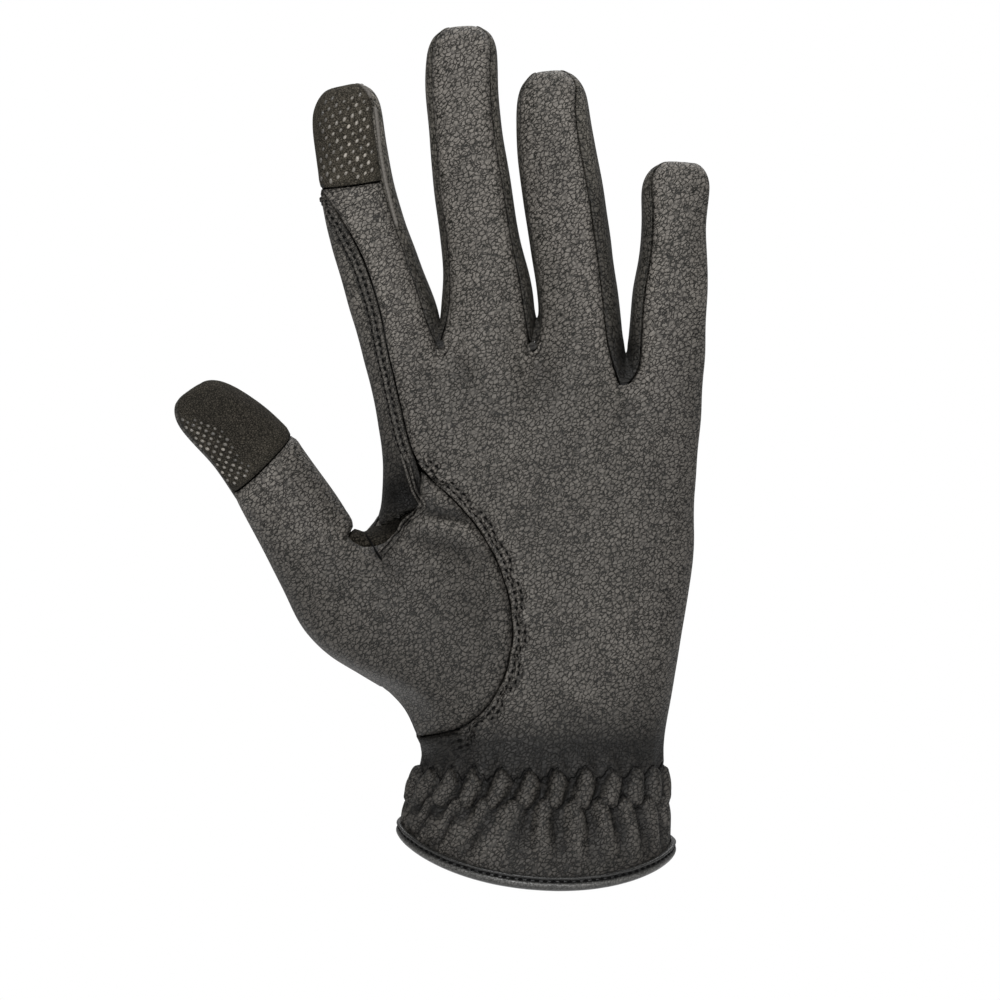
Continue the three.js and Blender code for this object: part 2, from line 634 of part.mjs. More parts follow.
// Edge points that two parts of a row share are the same point.
bodyRows.forEach((row, r) => {
  row.ulnar[0] = row.front[row.front.length - 1];
  row.ulnar[row.ulnar.length - 1] = row.back[0];
  row.radial[0] = row.back[row.back.length - 1];
  if (r <= webRowCount) row.radial[row.radial.length - 1] = row.front[0];
});
const webCorner = bodyRows[webRowCount].front[0];
const webPoints = WEB.map((w) => point(handX(w.x), (palmDepth / 2) * w.y, palmHeight * w.z));
bodyRows[webRowCount].radial = [...webPoints].reverse().concat(webCorner);
bodyRows[webRowCount].back[bodyRows[webRowCount].back.length - 1] = webPoints[webPoints.length - 1];
bodyRows[rowCount].back[bodyRows[rowCount].back.length - 1] = bodyRows[rowCount].front[0];

const upwards = (part, rows = bodyRows) => rows.map((row) => row[part]).reverse();
addGrid(upwards("front"), () => "palm_panel");
addGrid(upwards("ulnar"), (r, c) => (c < sideColumnCount - 1 ? "palm_panel" : "back_panel"));
addGrid(upwards("back"), () => "back_panel");
addGrid(upwards("radial", bodyRows.slice(0, webRowCount + 1)), () => "back_panel");

// Thumb. Its foot is the edge of the hole in the hand: the round seam, the web, and the side of the back.
const thumbLimb = {
  name: "thumb",
  width: thumbWidth,
  depth: thumbDepth,
  length: thumbLength,
  curl: thumbCurl,
  patchShare: thumbPatchShare,
  root: point(-thumbOut, -thumbForward, thumbUp),
  along: point(-Math.sin(radians(thumbLean)), 0, Math.cos(radians(thumbLean))),
  across: point(Math.cos(radians(thumbLean)), 0, Math.sin(radians(thumbLean))),
  columns: { front: arcRowCount + 1, right: WEB.length - 2, back: arcRowCount + 1, left: 0 },
};
thumbLimb.rootAcross = thumbLimb.across;

function thumbAngles(share) {
  return {
    left: tableValue(THUMB_SEAM, share, "angle"),
    right: lerp(thumbInnerAngle.root, thumbInnerAngle.tip, share),
    backRight: lerp(thumbBackInnerAngle.root, thumbBackInnerAngle.tip, share),
    backLeft: -tableValue(THUMB_SEAM, share, "angle"),
  };
}

const thumbRings = limbShares(thumbLimb, thumbRowCount).map((share) =>
  limbRing(limbSection(thumbLimb, share), thumbAngles(share), thumbLimb.columns, share === 1),
);
const thumbFoot = [
  ...bodyRows.slice(webRowCount).map((row) => row.front[0]).reverse(),
  ...webPoints,
  ...bodyRows.slice(webRowCount + 1).map((row) => row.back[row.back.length - 1]),
];

// The direction in which the thumb's leather leaves each point of its foot: square to the round seam,
// as the table says at the web, and turning from that to the heel's along the back.
const toward = ({ toX, toY, toZ }) => point(toX, toY, toZ).normalize();
const leaving = thumbFoot.map((_, c) => {
  if (c === 0) return toward(HEEL);
  if (c < thumbLimb.columns.front) {
    const run = thumbFoot[c + 1].clone().sub(thumbFoot[c - 1]);
    return point(-run.z, -thenarLift * run.length(), run.x).normalize();
  }
  const past = c - thumbLimb.columns.front;
  if (past < WEB.length) return toward(WEB[past]);
  const rest = (past - WEB.length + 1) / (thumbFoot.length - thumbLimb.columns.front - WEB.length);
  return between(toward(WEB[WEB.length - 1]), toward(HEEL), rest ** heelTurn).normalize();
});
const thenar = steps(thenarRowCount).map((t) =>
  thumbFoot.map((foot, c) => {
    const root = thumbRings[0][c];
    const reach = thenarEase * foot.distanceTo(root);
    const p = foot
      .clone()
      .multiplyScalar((1 + 2 * t) * (1 - t) ** 2)
      .addScaledVector(leaving[c], reach * t * (1 - t) ** 2)
      .addScaledVector(root, t * t * (3 - 2 * t))
      .addScaledVector(thumbLimb.along, reach * t * t * (t - 1));
    const frontShare = Math.min(1, c / thumbLimb.columns.front);
    p.y -= thenarBulge * 4 * t * (1 - t) * Math.sin(Math.PI * frontShare) ** thenarFullness;
    return p;
  }),
);
const thumbNet = [...thenar, ...thumbRings.slice(1)];
const thumbPatchRow = thenarRowCount + patchRow(thumbLimb, thumbRowCount);
addGrid(thumbNet, (r, c) => {
  const { front, right } = thumbLimb.columns;
  if (c >= front + right) return "thumb_back";
  if (r >= thumbPatchRow) return "thumb_touch_patch";
  if (c >= front && r < thenarRowCount) return "thumb_gusset";
  return "thumb_front";
});

// Cuff: rings of pleats, the palm side and the back each from seam to seam.
const perSide = Math.round(pleatCount / 2) * pleatPointCount;

function cuffRing(row) {
  const width = lerp(wristWidth, cuffWidth, row.flare);
  const depth = lerp(wristDepth, cuffDepth, row.flare);
  const low = smooth(1 - row.at);
  const section = {
    centre: point(wristShift * (1 - row.flare), 0, cuffHeight * row.at),
    across: point(1, 0, 0),
    through: point(0, 1, 0),
    halfWidth: width / 2,
    front: depth * cuffFront,
    back: depth * (1 - cuffFront),
    squareness: tubeSquareness,
  };
  const ring = [
    ...arcPoints(section, halfTurn, fullTurn, perSide),
    ...arcPoints(section, fullTurn, fullTurn + halfTurn, perSide).slice(1),
  ];
  return ring.slice(0, -1).map((p, i) => {
    const turn = (i / pleatPointCount + row.lap) % 1;
    const creased = Math.min(turn, 1 - turn) < 1 / pleatPointCount / 2;
    const raised = creased ? 1 / pleatPointCount - 1 : 1 / pleatPointCount;
    const outward = p.clone().sub(section.centre).normalize();
    p.addScaledVector(outward, pleatDepth * row.puff * raised);
    const forward = -p.y / section.front;
    p.z -= low * (forward > 0 ? hemDrop * forward ** hemRoundness : hemRise * forward);
    p.z -= (low * hemSlant * p.x) / cuffWidth;
    return p;
  });
}

const cuffRings = CUFF.map(cuffRing);
for (const ring of cuffRings) ring.push(ring[0]);
const cuffUp = [...cuffRings].reverse();
addGrid(cuffUp, (r, c) => (c < perSide ? "palm_panel" : "back_panel"));

const foot = bodyRows[rowCount];
const palmFoot = [...foot.front, ...foot.ulnar.slice(1, sideColumnCount)];
const backFoot = [...foot.ulnar.slice(sideColumnCount - 1), ...foot.back.slice(1)];
addZip(cuffRings[0].slice(0, perSide + 1), palmFoot, "palm_panel");
addZip(cuffRings[0].slice(perSide), backFoot, "back_panel");

// Folds are pressed into the form before it is cut into panels.
function distanceToSegment(x, z, x1, z1, x2, z2) {
  const [dx, dz] = [x2 - x1, z2 - z1];
  const t = THREE.MathUtils.clamp(((x - x1) * dx + (z - z1) * dz) / (dx * dx + dz * dz), 0, 1);
  return Math.hypot(x - x1 - t * dx, z - z1 - t * dz);
}
for (const p of form.points)
  for (const fold of FOLDS) {
    if (Math.sign(p.y) !== fold.side) continue;
    const [x1, x2] = [handX(fold.x1), handX(fold.x2)];
    const far = distanceToSegment(p.x, p.z, x1, palmHeight * fold.z1, x2, palmHeight * fold.z2);
    p.y -= fold.side * fold.deep * wall * Math.exp(-((far / (fold.wide * palmHeight)) ** 2));
  }

// Directions that point out of the form at each of its points, and how far in its inner face lies there.
const facing = form.points.map(() => point(0, 0, 0));
const faceNormals = form.faces.map(({ corners }) => {
  const p = corners.map((c) => form.points[c]);
  const a = p[2].clone().sub(p[0]);
  const b = (p[3] ?? p[2]).clone().sub(p[1]);
  return p.length === 4 ? a.cross(b) : p[1].clone().sub(p[0]).cross(a);
});
form.faces.forEach(({ corners }, f) => corners.forEach((c) => facing[c].add(faceNormals[f])));
facing.forEach((n) => n.normalize());
const evenness = form.points.map(() => ({ sum: 0, count: 0 }));
form.faces.forEach(({ corners }, f) => {
  const unit = faceNormals[f].clone().normalize();
  for (const c of corners) {
    evenness[c].sum += unit.dot(facing[c]);
    evenness[c].count += 1;
  }
});
const wallAt = evenness.map(({ sum, count }) => wall / THREE.MathUtils.clamp(sum / count, sharpestCorner, 1));

// A panel as a closed solid: its faces, drawn in from its seams by half the seam gap, and its inner
// face below.
function panelGeometry(panel) {
  const faces = form.faces.filter((face) => face.panel === panel);
  const edges = new Map();
  for (const { corners } of faces)
    corners.forEach((a, i) => edges.set(`${a},${corners[(i + 1) % corners.length]}`, true));
  const rim = [];
  for (const { corners } of faces)
    corners.forEach((a, i) => {
      const b = corners[(i + 1) % corners.length];
      if (!edges.has(`${b},${a}`)) rim.push([a, b]);
    });
  const drawnIn = new Map();
  for (const [a, b] of rim)
    for (const c of [a, b]) {
      const along = form.points[b].clone().sub(form.points[a]);
      const inward = facing[c].clone().cross(along).normalize();
      drawnIn.set(c, [...(drawnIn.get(c) ?? []), inward]);
    }
  const outer = new Map();
  const inner = new Map();
  for (const { corners } of faces)
    for (const c of corners) {
      if (outer.has(c)) continue;
      const p = form.points[c].clone();
      if (drawnIn.has(c)) {
        const [n1, n2 = n1] = drawnIn.get(c);
        const mitre = Math.max(sharpestCorner, 1 + n1.dot(n2));
        p.addScaledVector(n1.clone().add(n2), seamGap / 2 / mitre);
      }
      outer.set(c, p);
      inner.set(c, p.clone().addScaledVector(facing[c], -wallAt[c]));
    }
  const triangles = [];
  const addTriangle = (a, b, c) => triangles.push(...[a, b, c].flatMap((p) => [p.x, p.y, p.z]));
  for (const { corners } of faces) {
    const o = corners.map((c) => outer.get(c));
    const i = corners.map((c) => inner.get(c));
    const turned = corners.length === 4 && o[0].distanceTo(o[2]) > o[1].distanceTo(o[3]);
    const order = turned ? [1, 2, 3, 0] : [0, 1, 2, 3];
    const [p, q, s, t] = order;
    addTriangle(o[p], o[q], o[s]);
    addTriangle(i[s], i[q], i[p]);
    if (corners.length === 4) {
      addTriangle(o[p], o[s], o[t]);
      addTriangle(i[t], i[s], i[p]);
    }
  }
  // The rim's faces are split the same way on both sides of a seam, so that their gap stays even.
  for (const [a, b] of rim) {
    const cut = a < b ? [outer.get(a), inner.get(b)] : [outer.get(b), inner.get(a)];
    if (a < b) {
      addTriangle(outer.get(b), cut[0], cut[1]);
      addTriangle(cut[0], inner.get(a), cut[1]);
    } else {
      addTriangle(cut[0], outer.get(a), cut[1]);
      addTriangle(cut[0], cut[1], inner.get(b));
    }
  }
  const geometry = new THREE.BufferGeometry();
  geometry.setAttribute("position", new THREE.Float32BufferAttribute(triangles, 3));
  geometry.computeVertexNormals();
  return geometry;
}

// Hem binding: a folded strip that straddles the cuff's edge all the way round.
function bindingGeometry() {
  const hem = cuffRings[cuffRings.length - 1].slice(0, -1);
  const above = cuffRings[cuffRings.length - 2];
  const outside = bindingGap;
  const inside = -wall - bindingGap;
  const top = bindingHeight - bindingWall;
  const profile = [
    { out: outside, up: top },
    { out: outside, up: -bindingGap },
    { out: inside, up: -bindingGap },
    { out: inside, up: top },
    { out: inside - bindingWall, up: top },
    { out: inside - bindingWall, up: -bindingGap - bindingWall / 2 },
    { out: outside + bindingWall / 2, up: -bindingGap - bindingWall },
    { out: outside + bindingWall + bindingBulge, up: top * bindingBulgeShare },
    { out: outside + bindingWall, up: top },
  ];
  const loops = hem.map((p, i) => {
    const before = hem[(i + hem.length - 1) % hem.length];
    const after = hem[(i + 1) % hem.length];
    const up = above[i].clone().sub(p).normalize();
    const out = after.clone().sub(before).cross(up).normalize();
    return profile.map(({ out: o, up: u }) =>
      p.clone().addScaledVector(out, o).addScaledVector(up, u),
    );
  });
  const triangles = [];
  const addTriangle = (a, b, c) => triangles.push(...[a, b, c].flatMap((p) => [p.x, p.y, p.z]));
  loops.forEach((loop, i) => {
    const next = loops[(i + 1) % loops.length];
    loop.forEach((p, k) => {
      const l = (k + 1) % loop.length;
      addTriangle(p, next[k], next[l]);
      addTriangle(p, next[l], loop[l]);
    });
  });
  const geometry = new THREE.BufferGeometry();
  geometry.setAttribute("position", new THREE.Float32BufferAttribute(triangles, 3));
  geometry.computeVertexNormals();
  return geometry;
}

// Materials.
const leather = (color) => new THREE.MeshStandardMaterial({ color, roughness: 0.62, metalness: 0 });
const grained = 0x4f4c48;
const darker = 0x393733;
const mesh = new THREE.MeshStandardMaterial({ color: 0x37342e, roughness: 0.85, metalness: 0 });
const PANELS = {
  palm_panel: leather(grained),
  back_panel: leather(darker),
  fourchette_index_middle: leather(darker),
  fourchette_middle_ring: leather(darker),
  fourchette_ring_little: leather(darker),
  index_touch_patch: mesh,
  thumb_front: leather(grained),
  thumb_back: leather(darker),
  thumb_gusset: leather(darker),
  thumb_touch_patch: mesh,
};

const glove = new THREE.Group();
for (const [name, material] of Object.entries(PANELS)) {
  const panel = new THREE.Mesh(panelGeometry(name), material);
  panel.name = name;
  glove.add(panel);
}
const binding = new THREE.Mesh(bindingGeometry(), leather(darker));
binding.name = "hem_binding";
glove.add(binding);

export default glove;
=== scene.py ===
"""A left-hand riding glove of black grained leather, dressed around its CAD frame.

The glove stands with its fingers up and its palm towards the camera. Each leather panel is a
refined copy of its CAD solid with its creases worked in, and the seams, stitches, raised beads,
shirring and hem are pieces of their own laid on the panels.
"""

import logging
import math
from collections import Counter
from contextlib import contextmanager
from dataclasses import dataclass, field
from enum import Enum
from itertools import product
from typing import Callable, Iterator

import bmesh
import bpy
import numpy as np
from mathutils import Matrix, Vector, kdtree, noise
from mathutils.bvhtree import BVHTree


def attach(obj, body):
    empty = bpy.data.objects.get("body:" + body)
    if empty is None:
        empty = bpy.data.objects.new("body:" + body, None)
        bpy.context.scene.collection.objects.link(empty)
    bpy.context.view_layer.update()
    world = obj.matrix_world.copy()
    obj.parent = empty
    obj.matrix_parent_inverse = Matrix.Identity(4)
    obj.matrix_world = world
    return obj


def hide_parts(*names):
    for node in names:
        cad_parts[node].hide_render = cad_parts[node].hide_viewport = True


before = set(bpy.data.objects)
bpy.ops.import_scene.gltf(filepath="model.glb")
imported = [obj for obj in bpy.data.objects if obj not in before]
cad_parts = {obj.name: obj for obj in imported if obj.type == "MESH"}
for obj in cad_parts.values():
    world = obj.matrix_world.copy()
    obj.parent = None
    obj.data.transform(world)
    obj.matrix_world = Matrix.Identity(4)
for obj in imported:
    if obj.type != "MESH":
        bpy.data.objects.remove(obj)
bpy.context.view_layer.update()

MM = 0.001
BODY = "root"
# The vertex attribute that carries the painted light and shade as a factor of the colour; on the raised dots
# it also carries their uneven wear
SHADE_NAME = "crease_shade"
# The sockets of a colour Mix node: its two colours and its result
MIX_LOW, MIX_HIGH, MIX_RESULT = 6, 7, 2
# Where a ray starts before the palm side, and the way it goes
BEFORE_PALM = Vector((0, -0.1, 0))
INTO_PALM = Vector((0, 1, 0))
# How far from a seam the relief reaches its full height
FREE_OF_SEAM = 2.5 * MM
# The darkest painted shade and the lightest painted light that a panel's relief gives
SHADE_LIMITS = (0.22, 1.6)
# A stitch's radius, as a share, at places along it, and how deep its ends dip
STITCH_SHAPE = ((-0.5, 0.35), (-0.36, 0.8), (0.0, 1.0), (0.36, 0.8), (0.5, 0.35))
STITCH_DIP = 0.7
# Where a stitched band has its points, in mm from the seam, and the painted shade of its underside
BAND_OFFSETS = (0.0, 0.15, 0.4, 0.7, 1.0, 1.3, 1.55, 1.8, 2.05, 2.3, 2.55, 2.8, 3.1, 3.4, 3.7, 4.0, 4.35)
UNDERSIDE_SHADE = 0.3
SMALL_PIECE_ANGLE = math.radians(60)
WEAR_SEED = Vector((7, 0, 0))

log = logging.getLogger("glove")

Colour = tuple[float, float, float]
Place = tuple[float, float]
Material = bpy.types.Material
Socket = bpy.types.NodeSocket
Relief = Callable[[np.ndarray, np.ndarray, np.ndarray], np.ndarray]


class Slot(Enum):
    """The material slots that the record names."""

    PALM = "palm_leather"
    BACK = "back_leather"
    FOURCHETTE = "fourchette_leather"
    TOUCH = "touch_mesh"
    BINDING = "binding"


class Side(Enum):
    """Which side of a panel's wall a face belongs to, kept as its material index while it is built."""

    OUTER = 0
    INNER = 1
    RIM = 2


# Node materials


class Nodes:
    """A material's node tree with short calls for the nodes that the finishes share."""

    def __init__(self, name: str) -> None:
        """Starts a material of that name with an empty Principled shader."""
        self.material = bpy.data.materials.new(name)
        self.material.use_nodes = True
        self.tree = self.material.node_tree
        self.shader = self.tree.nodes["Principled BSDF"]

    def feed(self, node: bpy.types.Node, inputs: dict[str | int, object]) -> None:
        """Gives a node its inputs.

        Args:
            node: the node.
            inputs: a socket to link or a plain value, by the input's name or number.
        """
        for name, value in inputs.items():
            if isinstance(value, Socket):
                self.tree.links.new(value, node.inputs[name])
            else:
                node.inputs[name].default_value = value

    def add(self, kind: str, inputs: dict[str | int, object], **values: object) -> bpy.types.Node:
        """Adds a node, sets its properties and gives it its inputs.

        Args:
            kind: the node's type name after the words ShaderNode.
            inputs: sockets and plain values, as feed takes them.
            values: property names and values.

        Returns:
            The new node.
        """
        node = self.tree.nodes.new("ShaderNode" + kind)
        for name, value in values.items():
            setattr(node, name, value)
        self.feed(node, inputs)
        return node

    def object_coordinates(self) -> Socket:
        """The piece's own coordinates, in metres."""
        return self.add("TexCoord", {}).outputs["Object"]

    def attribute(self, name: str) -> Socket:
        """One of the piece's own attributes."""
        return self.add("Attribute", {}, attribute_name=name).outputs["Fac"]

    def noise(
        self, place: Socket, size: float, detail: float, roughness: float = 0.5, output: str = "Fac"
    ) -> Socket:
        """Adds a noise texture.

        Args:
            place: the coordinates that it reads.
            size: the size of its largest blotches, in metres.
            detail: how many finer layers it has.
            roughness: how strong the finer layers are.
            output: which of its outputs is wanted.

        Returns:
            The noise.
        """
        inputs = {"Vector": place, "Scale": 1 / size, "Detail": detail, "Roughness": roughness}
        return self.add("TexNoise", inputs).outputs[output]

    def cells(self, place: Socket, size: float, feature: str = "DISTANCE_TO_EDGE") -> Socket:
        """Adds a Voronoi texture whose cells are about the given size.

        Args:
            place: the coordinates that it reads.
            size: the cells' size in metres.
            feature: the Voronoi feature.

        Returns:
            The distance that the feature measures.
        """
        inputs = {"Vector": place, "Scale": 1 / size}
        return self.add("TexVoronoi", inputs, feature=feature).outputs["Distance"]

    def calculate(self, operation: str, first: Socket, second: Socket) -> Socket:
        """Joins two values by a mathematical operation."""
        return self.add("Math", {0: first, 1: second}, operation=operation).outputs[0]

    def sum(self, *terms: tuple[Socket, float]) -> Socket:
        """Adds up sockets, each times its own factor."""
        total: Socket | float = 0.0
        for socket, factor in terms:
            node = self.add("Math", {0: socket, 1: factor, 2: total}, operation="MULTIPLY_ADD")
            total = node.outputs[0]
        return total

    def span(self, value: Socket, low: float, high: float, to_low=0.0, to_high=1.0) -> Socket:
        """Maps a value smoothly from one range to another, held at the ends.

        Args:
            value: the socket to map.
            low: the value that gives to_low.
            high: the value that gives to_high.
            to_low: the result at low.
            to_high: the result at high.

        Returns:
            The mapped socket.
        """
        limits = {"From Min": low, "From Max": high, "To Min": to_low, "To Max": to_high}
        node = self.add("MapRange", {"Value": value, **limits}, interpolation_type="SMOOTHSTEP")
        return node.outputs["Result"]

    def warped(self, place: Socket, size: float, amount: float) -> Socket:
        """Shifts coordinates by noise, so that a regular pattern turns irregular.

        Args:
            place: the coordinates to shift.
            size: the size of the noise's blotches, in metres.
            amount: the most that a place moves, in metres.

        Returns:
            The shifted coordinates.
        """
        wander = self.noise(place, size, 1.0, output="Color")
        inputs = {0: wander, 1: (2 * amount,) * 3, 2: (-amount,) * 3}
        centred = self.add("VectorMath", inputs, operation="MULTIPLY_ADD").outputs[0]
        return self.add("VectorMath", {0: place, 1: centred}, operation="ADD").outputs[0]

    def blend(self, factor: Socket, low: Colour, high: Colour) -> Socket:
        """Mixes two colours: the first at a factor of 0 and the second at 1."""
        inputs = {"Factor": factor, MIX_LOW: (*low, 1.0), MIX_HIGH: (*high, 1.0)}
        return self.add("Mix", inputs, data_type="RGBA").outputs[MIX_RESULT]

    def finish(
        self, colour: Socket, level: Socket, height: Socket, depth: float, roughness: object, specular: float
    ) -> Material:
        """Gives the shader its colour, its bump and its other inputs.

        Args:
            colour: the colour before it is shaded.
            level: the factor that shades it.
            height: the bump's height, about 0 to 1.
            depth: what a height of 1 stands for, in metres.
            roughness: the shader's roughness, as a socket or a value.
            specular: its specular level.

        Returns:
            The finished material.
        """
        shaded = self.add("VectorMath", {0: colour, "Scale": level}, operation="SCALE")
        bump = self.add("Bump", {"Strength": 1.0, "Distance": depth, "Height": height})
        self.feed(self.shader, {"Base Color": shaded.outputs[0], "Normal": bump.outputs["Normal"]})
        self.feed(self.shader, {"Roughness": roughness, "Specular IOR Level": specular})
        return self.material


@dataclass(frozen=True)
class Leather:
    """Grained leather: rounded grain tops between thin dark cracks, in Object coordinates.

    Attributes:
        cell: the size of the coarse grain.
        crack_width: how wide the cracks are, as a share of a cell.
        mottle: how strong the large patches of tone are.
        contrast: how far the tone goes up and down.
        slant: the angle at which the grain is drawn out, in degrees.
        spread: how far the grain is drawn out along each axis.
        fine: the size of the fine grain and the width of its cracks, as shares of the coarse ones.
        bend: the size and the strength of the cells' unevenness, as shares of a cell.
        patch: the size of the large patches of tone.
        fading: how far apart the cracks fade out, in cells.
        gaps: where the coarse cracks fade out, and how far.
        fine_gaps: the same for the fine cracks.
        speckle: how strongly the pores change the tone, and over what range.
        sheen: the range of the pores that changes the roughness, and by how much.
        heights: how high the tops, the roundness and the pores stand in the bump.
    """

    name: str
    tops: Colour
    cracks: Colour = (0.003, 0.003, 0.002)
    cell: float = 0.88 * MM
    crack_width: float = 0.19
    depth: float = 0.24 * MM
    roughness: float = 0.5
    mottle: float = 0.18
    contrast: float = 0.36
    specular: float = 0.25
    slant: float = 40.0
    spread: tuple[float, float, float] = (1.55, 3.6, 1.0)
    fine: tuple[float, float] = (0.6, 0.8)
    bend: tuple[float, float] = (0.8, 0.5)
    pore: float = 0.5 * MM
    patch: float = 22 * MM
    fading: float = 1.6
    gaps: tuple[float, float, float, float] = (0.5, 0.68, 0.0, 0.5)
    fine_gaps: tuple[float, float, float, float] = (0.42, 0.6, 0.75, 1.0)
    speckle: tuple[float, float] = (1.1, 0.4)
    sheen: tuple[float, float, float] = (0.2, 0.8, 0.08)
    heights: tuple[float, float, float] = (0.55, -0.35, 0.5)

    def material(self) -> Material:
        """Builds the leather's material."""
        nodes = Nodes(self.name)
        place = nodes.object_coordinates()
        tilt = (0, -math.radians(self.slant), 0)
        drawn = {"Vector": place, "Rotation": tilt, "Scale": self.spread}
        turned = nodes.add("Mapping", drawn, vector_type="TEXTURE").outputs[0]
        bent = nodes.warped(turned, self.bend[0] * self.cell, self.bend[1] * self.cell)
        coarse = nodes.cells(bent, self.cell)
        fine = nodes.cells(bent, self.fine[0] * self.cell)
        rounds = nodes.cells(bent, self.cell, "F1")
        pores = nodes.noise(place, self.pore, 2.0, 0.8)
        patches = nodes.noise(place, self.patch, 3.0, 0.55)
        faint = nodes.noise(place, self.fading * self.cell, 2.0)
        faint_fine = nodes.noise(bent, self.fading * self.cell, 1.0)
        crack = nodes.span(coarse, 0.0, self.crack_width)
        nick = nodes.span(fine, 0.0, self.fine[1] * self.crack_width)
        tops = nodes.calculate(
            "MULTIPLY",
            nodes.calculate("MAXIMUM", crack, nodes.span(faint, *self.gaps)),
            nodes.calculate("MAXIMUM", nick, nodes.span(faint_fine, *self.fine_gaps)),
        )
        amount, reach = self.speckle
        middle = (amount + self.mottle) / 2
        shade = nodes.sum((pores, amount), (patches, self.mottle))
        level = nodes.span(shade, middle - reach, middle + reach, 1 - self.contrast, 1 + self.contrast)
        low, high, swing = self.sheen
        return nodes.finish(
            nodes.blend(tops, self.cracks, self.tops),
            # The shade attribute multiplies the painted light and shade into the leather's colour
            nodes.calculate("MULTIPLY", level, nodes.attribute(SHADE_NAME)),
            nodes.sum(*zip((tops, rounds, pores), self.heights)),
            self.depth,
            roughness=nodes.span(pores, low, high, self.roughness - swing, self.roughness + swing),
            specular=self.specular,
        )


@dataclass(frozen=True)
class Plain:
    """A finish without grain, such as thread or a moulded bead, with a slight unevenness."""

    name: str
    colour: Colour
    roughness: float
    specular: float
    blotch: float = 0.5 * MM
    uneven: float = 0.3
    depth: float = 0.05 * MM

    def material(self) -> Material:
        """Builds the finish's material."""
        nodes = Nodes(self.name)
        speckle = nodes.noise(nodes.object_coordinates(), self.blotch, 2.0)
        low, high = (
            tuple(factor * value for value in self.colour) for factor in (1 - self.uneven, 1 + self.uneven)
        )
        return nodes.finish(
            # The shade attribute multiplies the painted light and shade, and the dots' wear, into the colour
            nodes.blend(speckle, low, high), nodes.attribute(SHADE_NAME), speckle, self.depth,
            roughness=self.roughness, specular=self.specular,
        )


PALM_LEATHER = Leather("palm_leather", (0.110, 0.101, 0.090))
BACK_LEATHER = Leather("back_leather", (0.074, 0.068, 0.060))
# The fourchettes' leather: its darker tone than the palm's is painted shade, since their sides turn away
# from the light
SHADED_FOURCHETTE_LEATHER = Leather(
    "fourchette_leather", (0.062, 0.057, 0.049), slant=0, spread=(3.2, 1.0, 1.4)
)
GUSSET_LEATHER = Leather(
    "gusset_leather", (0.060, 0.053, 0.042), (0.002, 0.002, 0.001), roughness=0.8, specular=0.05,
    spread=(1.2, 1.2, 1.0),
)
BINDING_LEATHER = Leather(
    "binding_leather", (0.036, 0.035, 0.033), (0.012, 0.012, 0.011), cell=0.9 * MM, depth=0.09 * MM,
    roughness=0.3, mottle=0.12, specular=0.5, spread=(1.4, 1.4, 1.0),
)
TOUCH_KNIT = Leather(
    "touch_knit", (0.078, 0.069, 0.054), (0.010, 0.009, 0.006), cell=0.5 * MM, crack_width=0.24,
    contrast=0.5, depth=0.18 * MM, roughness=0.9, mottle=0.1, specular=0.15, slant=0,
    spread=(1.2, 2.0, 1.0),
)
THREAD = Plain("sewing_thread", (0.002, 0.002, 0.002), roughness=0.8, specular=0.08)
PIPING_LEATHER = Plain("piping_leather", (0.125, 0.115, 0.102), roughness=0.5, specular=0.3)
BEAD_RUBBER = Plain("bead_rubber", (0.17, 0.155, 0.135), roughness=0.28, specular=0.6)


# Mesh helpers


def only(piece: bpy.types.Object) -> None:
    """Makes one object the only selected and active one."""
    bpy.ops.object.select_all(action="DESELECT")
    piece.select_set(True)
    bpy.context.view_layer.objects.active = piece


@contextmanager
def editing(piece: bpy.types.Object) -> Iterator[None]:
    """Keeps a piece in edit mode with all of it selected."""
    only(piece)
    bpy.ops.object.mode_set(mode="EDIT")
    bpy.ops.mesh.select_all(action="SELECT")
    yield
    bpy.ops.object.mode_set(mode="OBJECT")


def apply(piece: bpy.types.Object, kind: str, **values: object) -> None:
    """Adds a modifier to a piece and applies it.

    Args:
        piece: the object.
        kind: the modifier's type.
        values: its settings.
    """
    only(piece)
    modifier = piece.modifiers.new(kind.title(), kind)
    for name, value in values.items():
        setattr(modifier, name, value)
    bpy.ops.object.modifier_apply(modifier=modifier.name)


def coordinates(mesh: bpy.types.Mesh, name: str = "co") -> np.ndarray:
    """The mesh's vertices, or their normals by name, as rows of three numbers."""
    values = np.zeros(len(mesh.vertices) * 3)
    mesh.vertices.foreach_get(name, values)
    return values.reshape(-1, 3)


def tree_of(points: np.ndarray | list[np.ndarray]) -> kdtree.KDTree:
    """A tree that finds the nearest of the points."""
    tree = kdtree.KDTree(len(points))
    for count, point in enumerate(points):
        tree.insert(point, count)
    tree.balance()
    return tree


def place(mesh: bpy.types.Mesh, points: np.ndarray) -> None:
    """Moves the mesh's vertices to the given points."""
    mesh.vertices.foreach_set("co", points.reshape(-1))
    mesh.update()


def set_shade(mesh: bpy.types.Mesh, values: np.ndarray) -> None:
    """Stores the factor of a mesh's colour at each vertex: its painted light and shade, and on the raised
    dots their uneven wear.
    """
    layer = mesh.attributes.new(SHADE_NAME, "FLOAT", "POINT")
    layer.data.foreach_set("value", values.astype(np.float32))


def dress(piece: bpy.types.Object, material: Material, slot: Slot) -> None:
    """Gives a piece its material and ties it to the frame.

    Args:
        piece: the finished object.
        material: its material.
        slot: not used.
    """
    piece.data.materials.clear()
    piece.data.materials.append(material)
    if SHADE_NAME not in piece.data.attributes:
        set_shade(piece.data, np.ones(len(piece.data.vertices)))
    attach(piece, BODY)


def smooth_step(value: np.ndarray) -> np.ndarray:
    """Eases a value from 0 to 1, held at the ends."""
    held = np.clip(value, 0, 1)
    return held * held * (3 - 2 * held)


def clamp(value: float, low: float = 0.0, high: float = 1.0) -> float:
    """A value held between two limits."""
    return max(low, min(high, value))


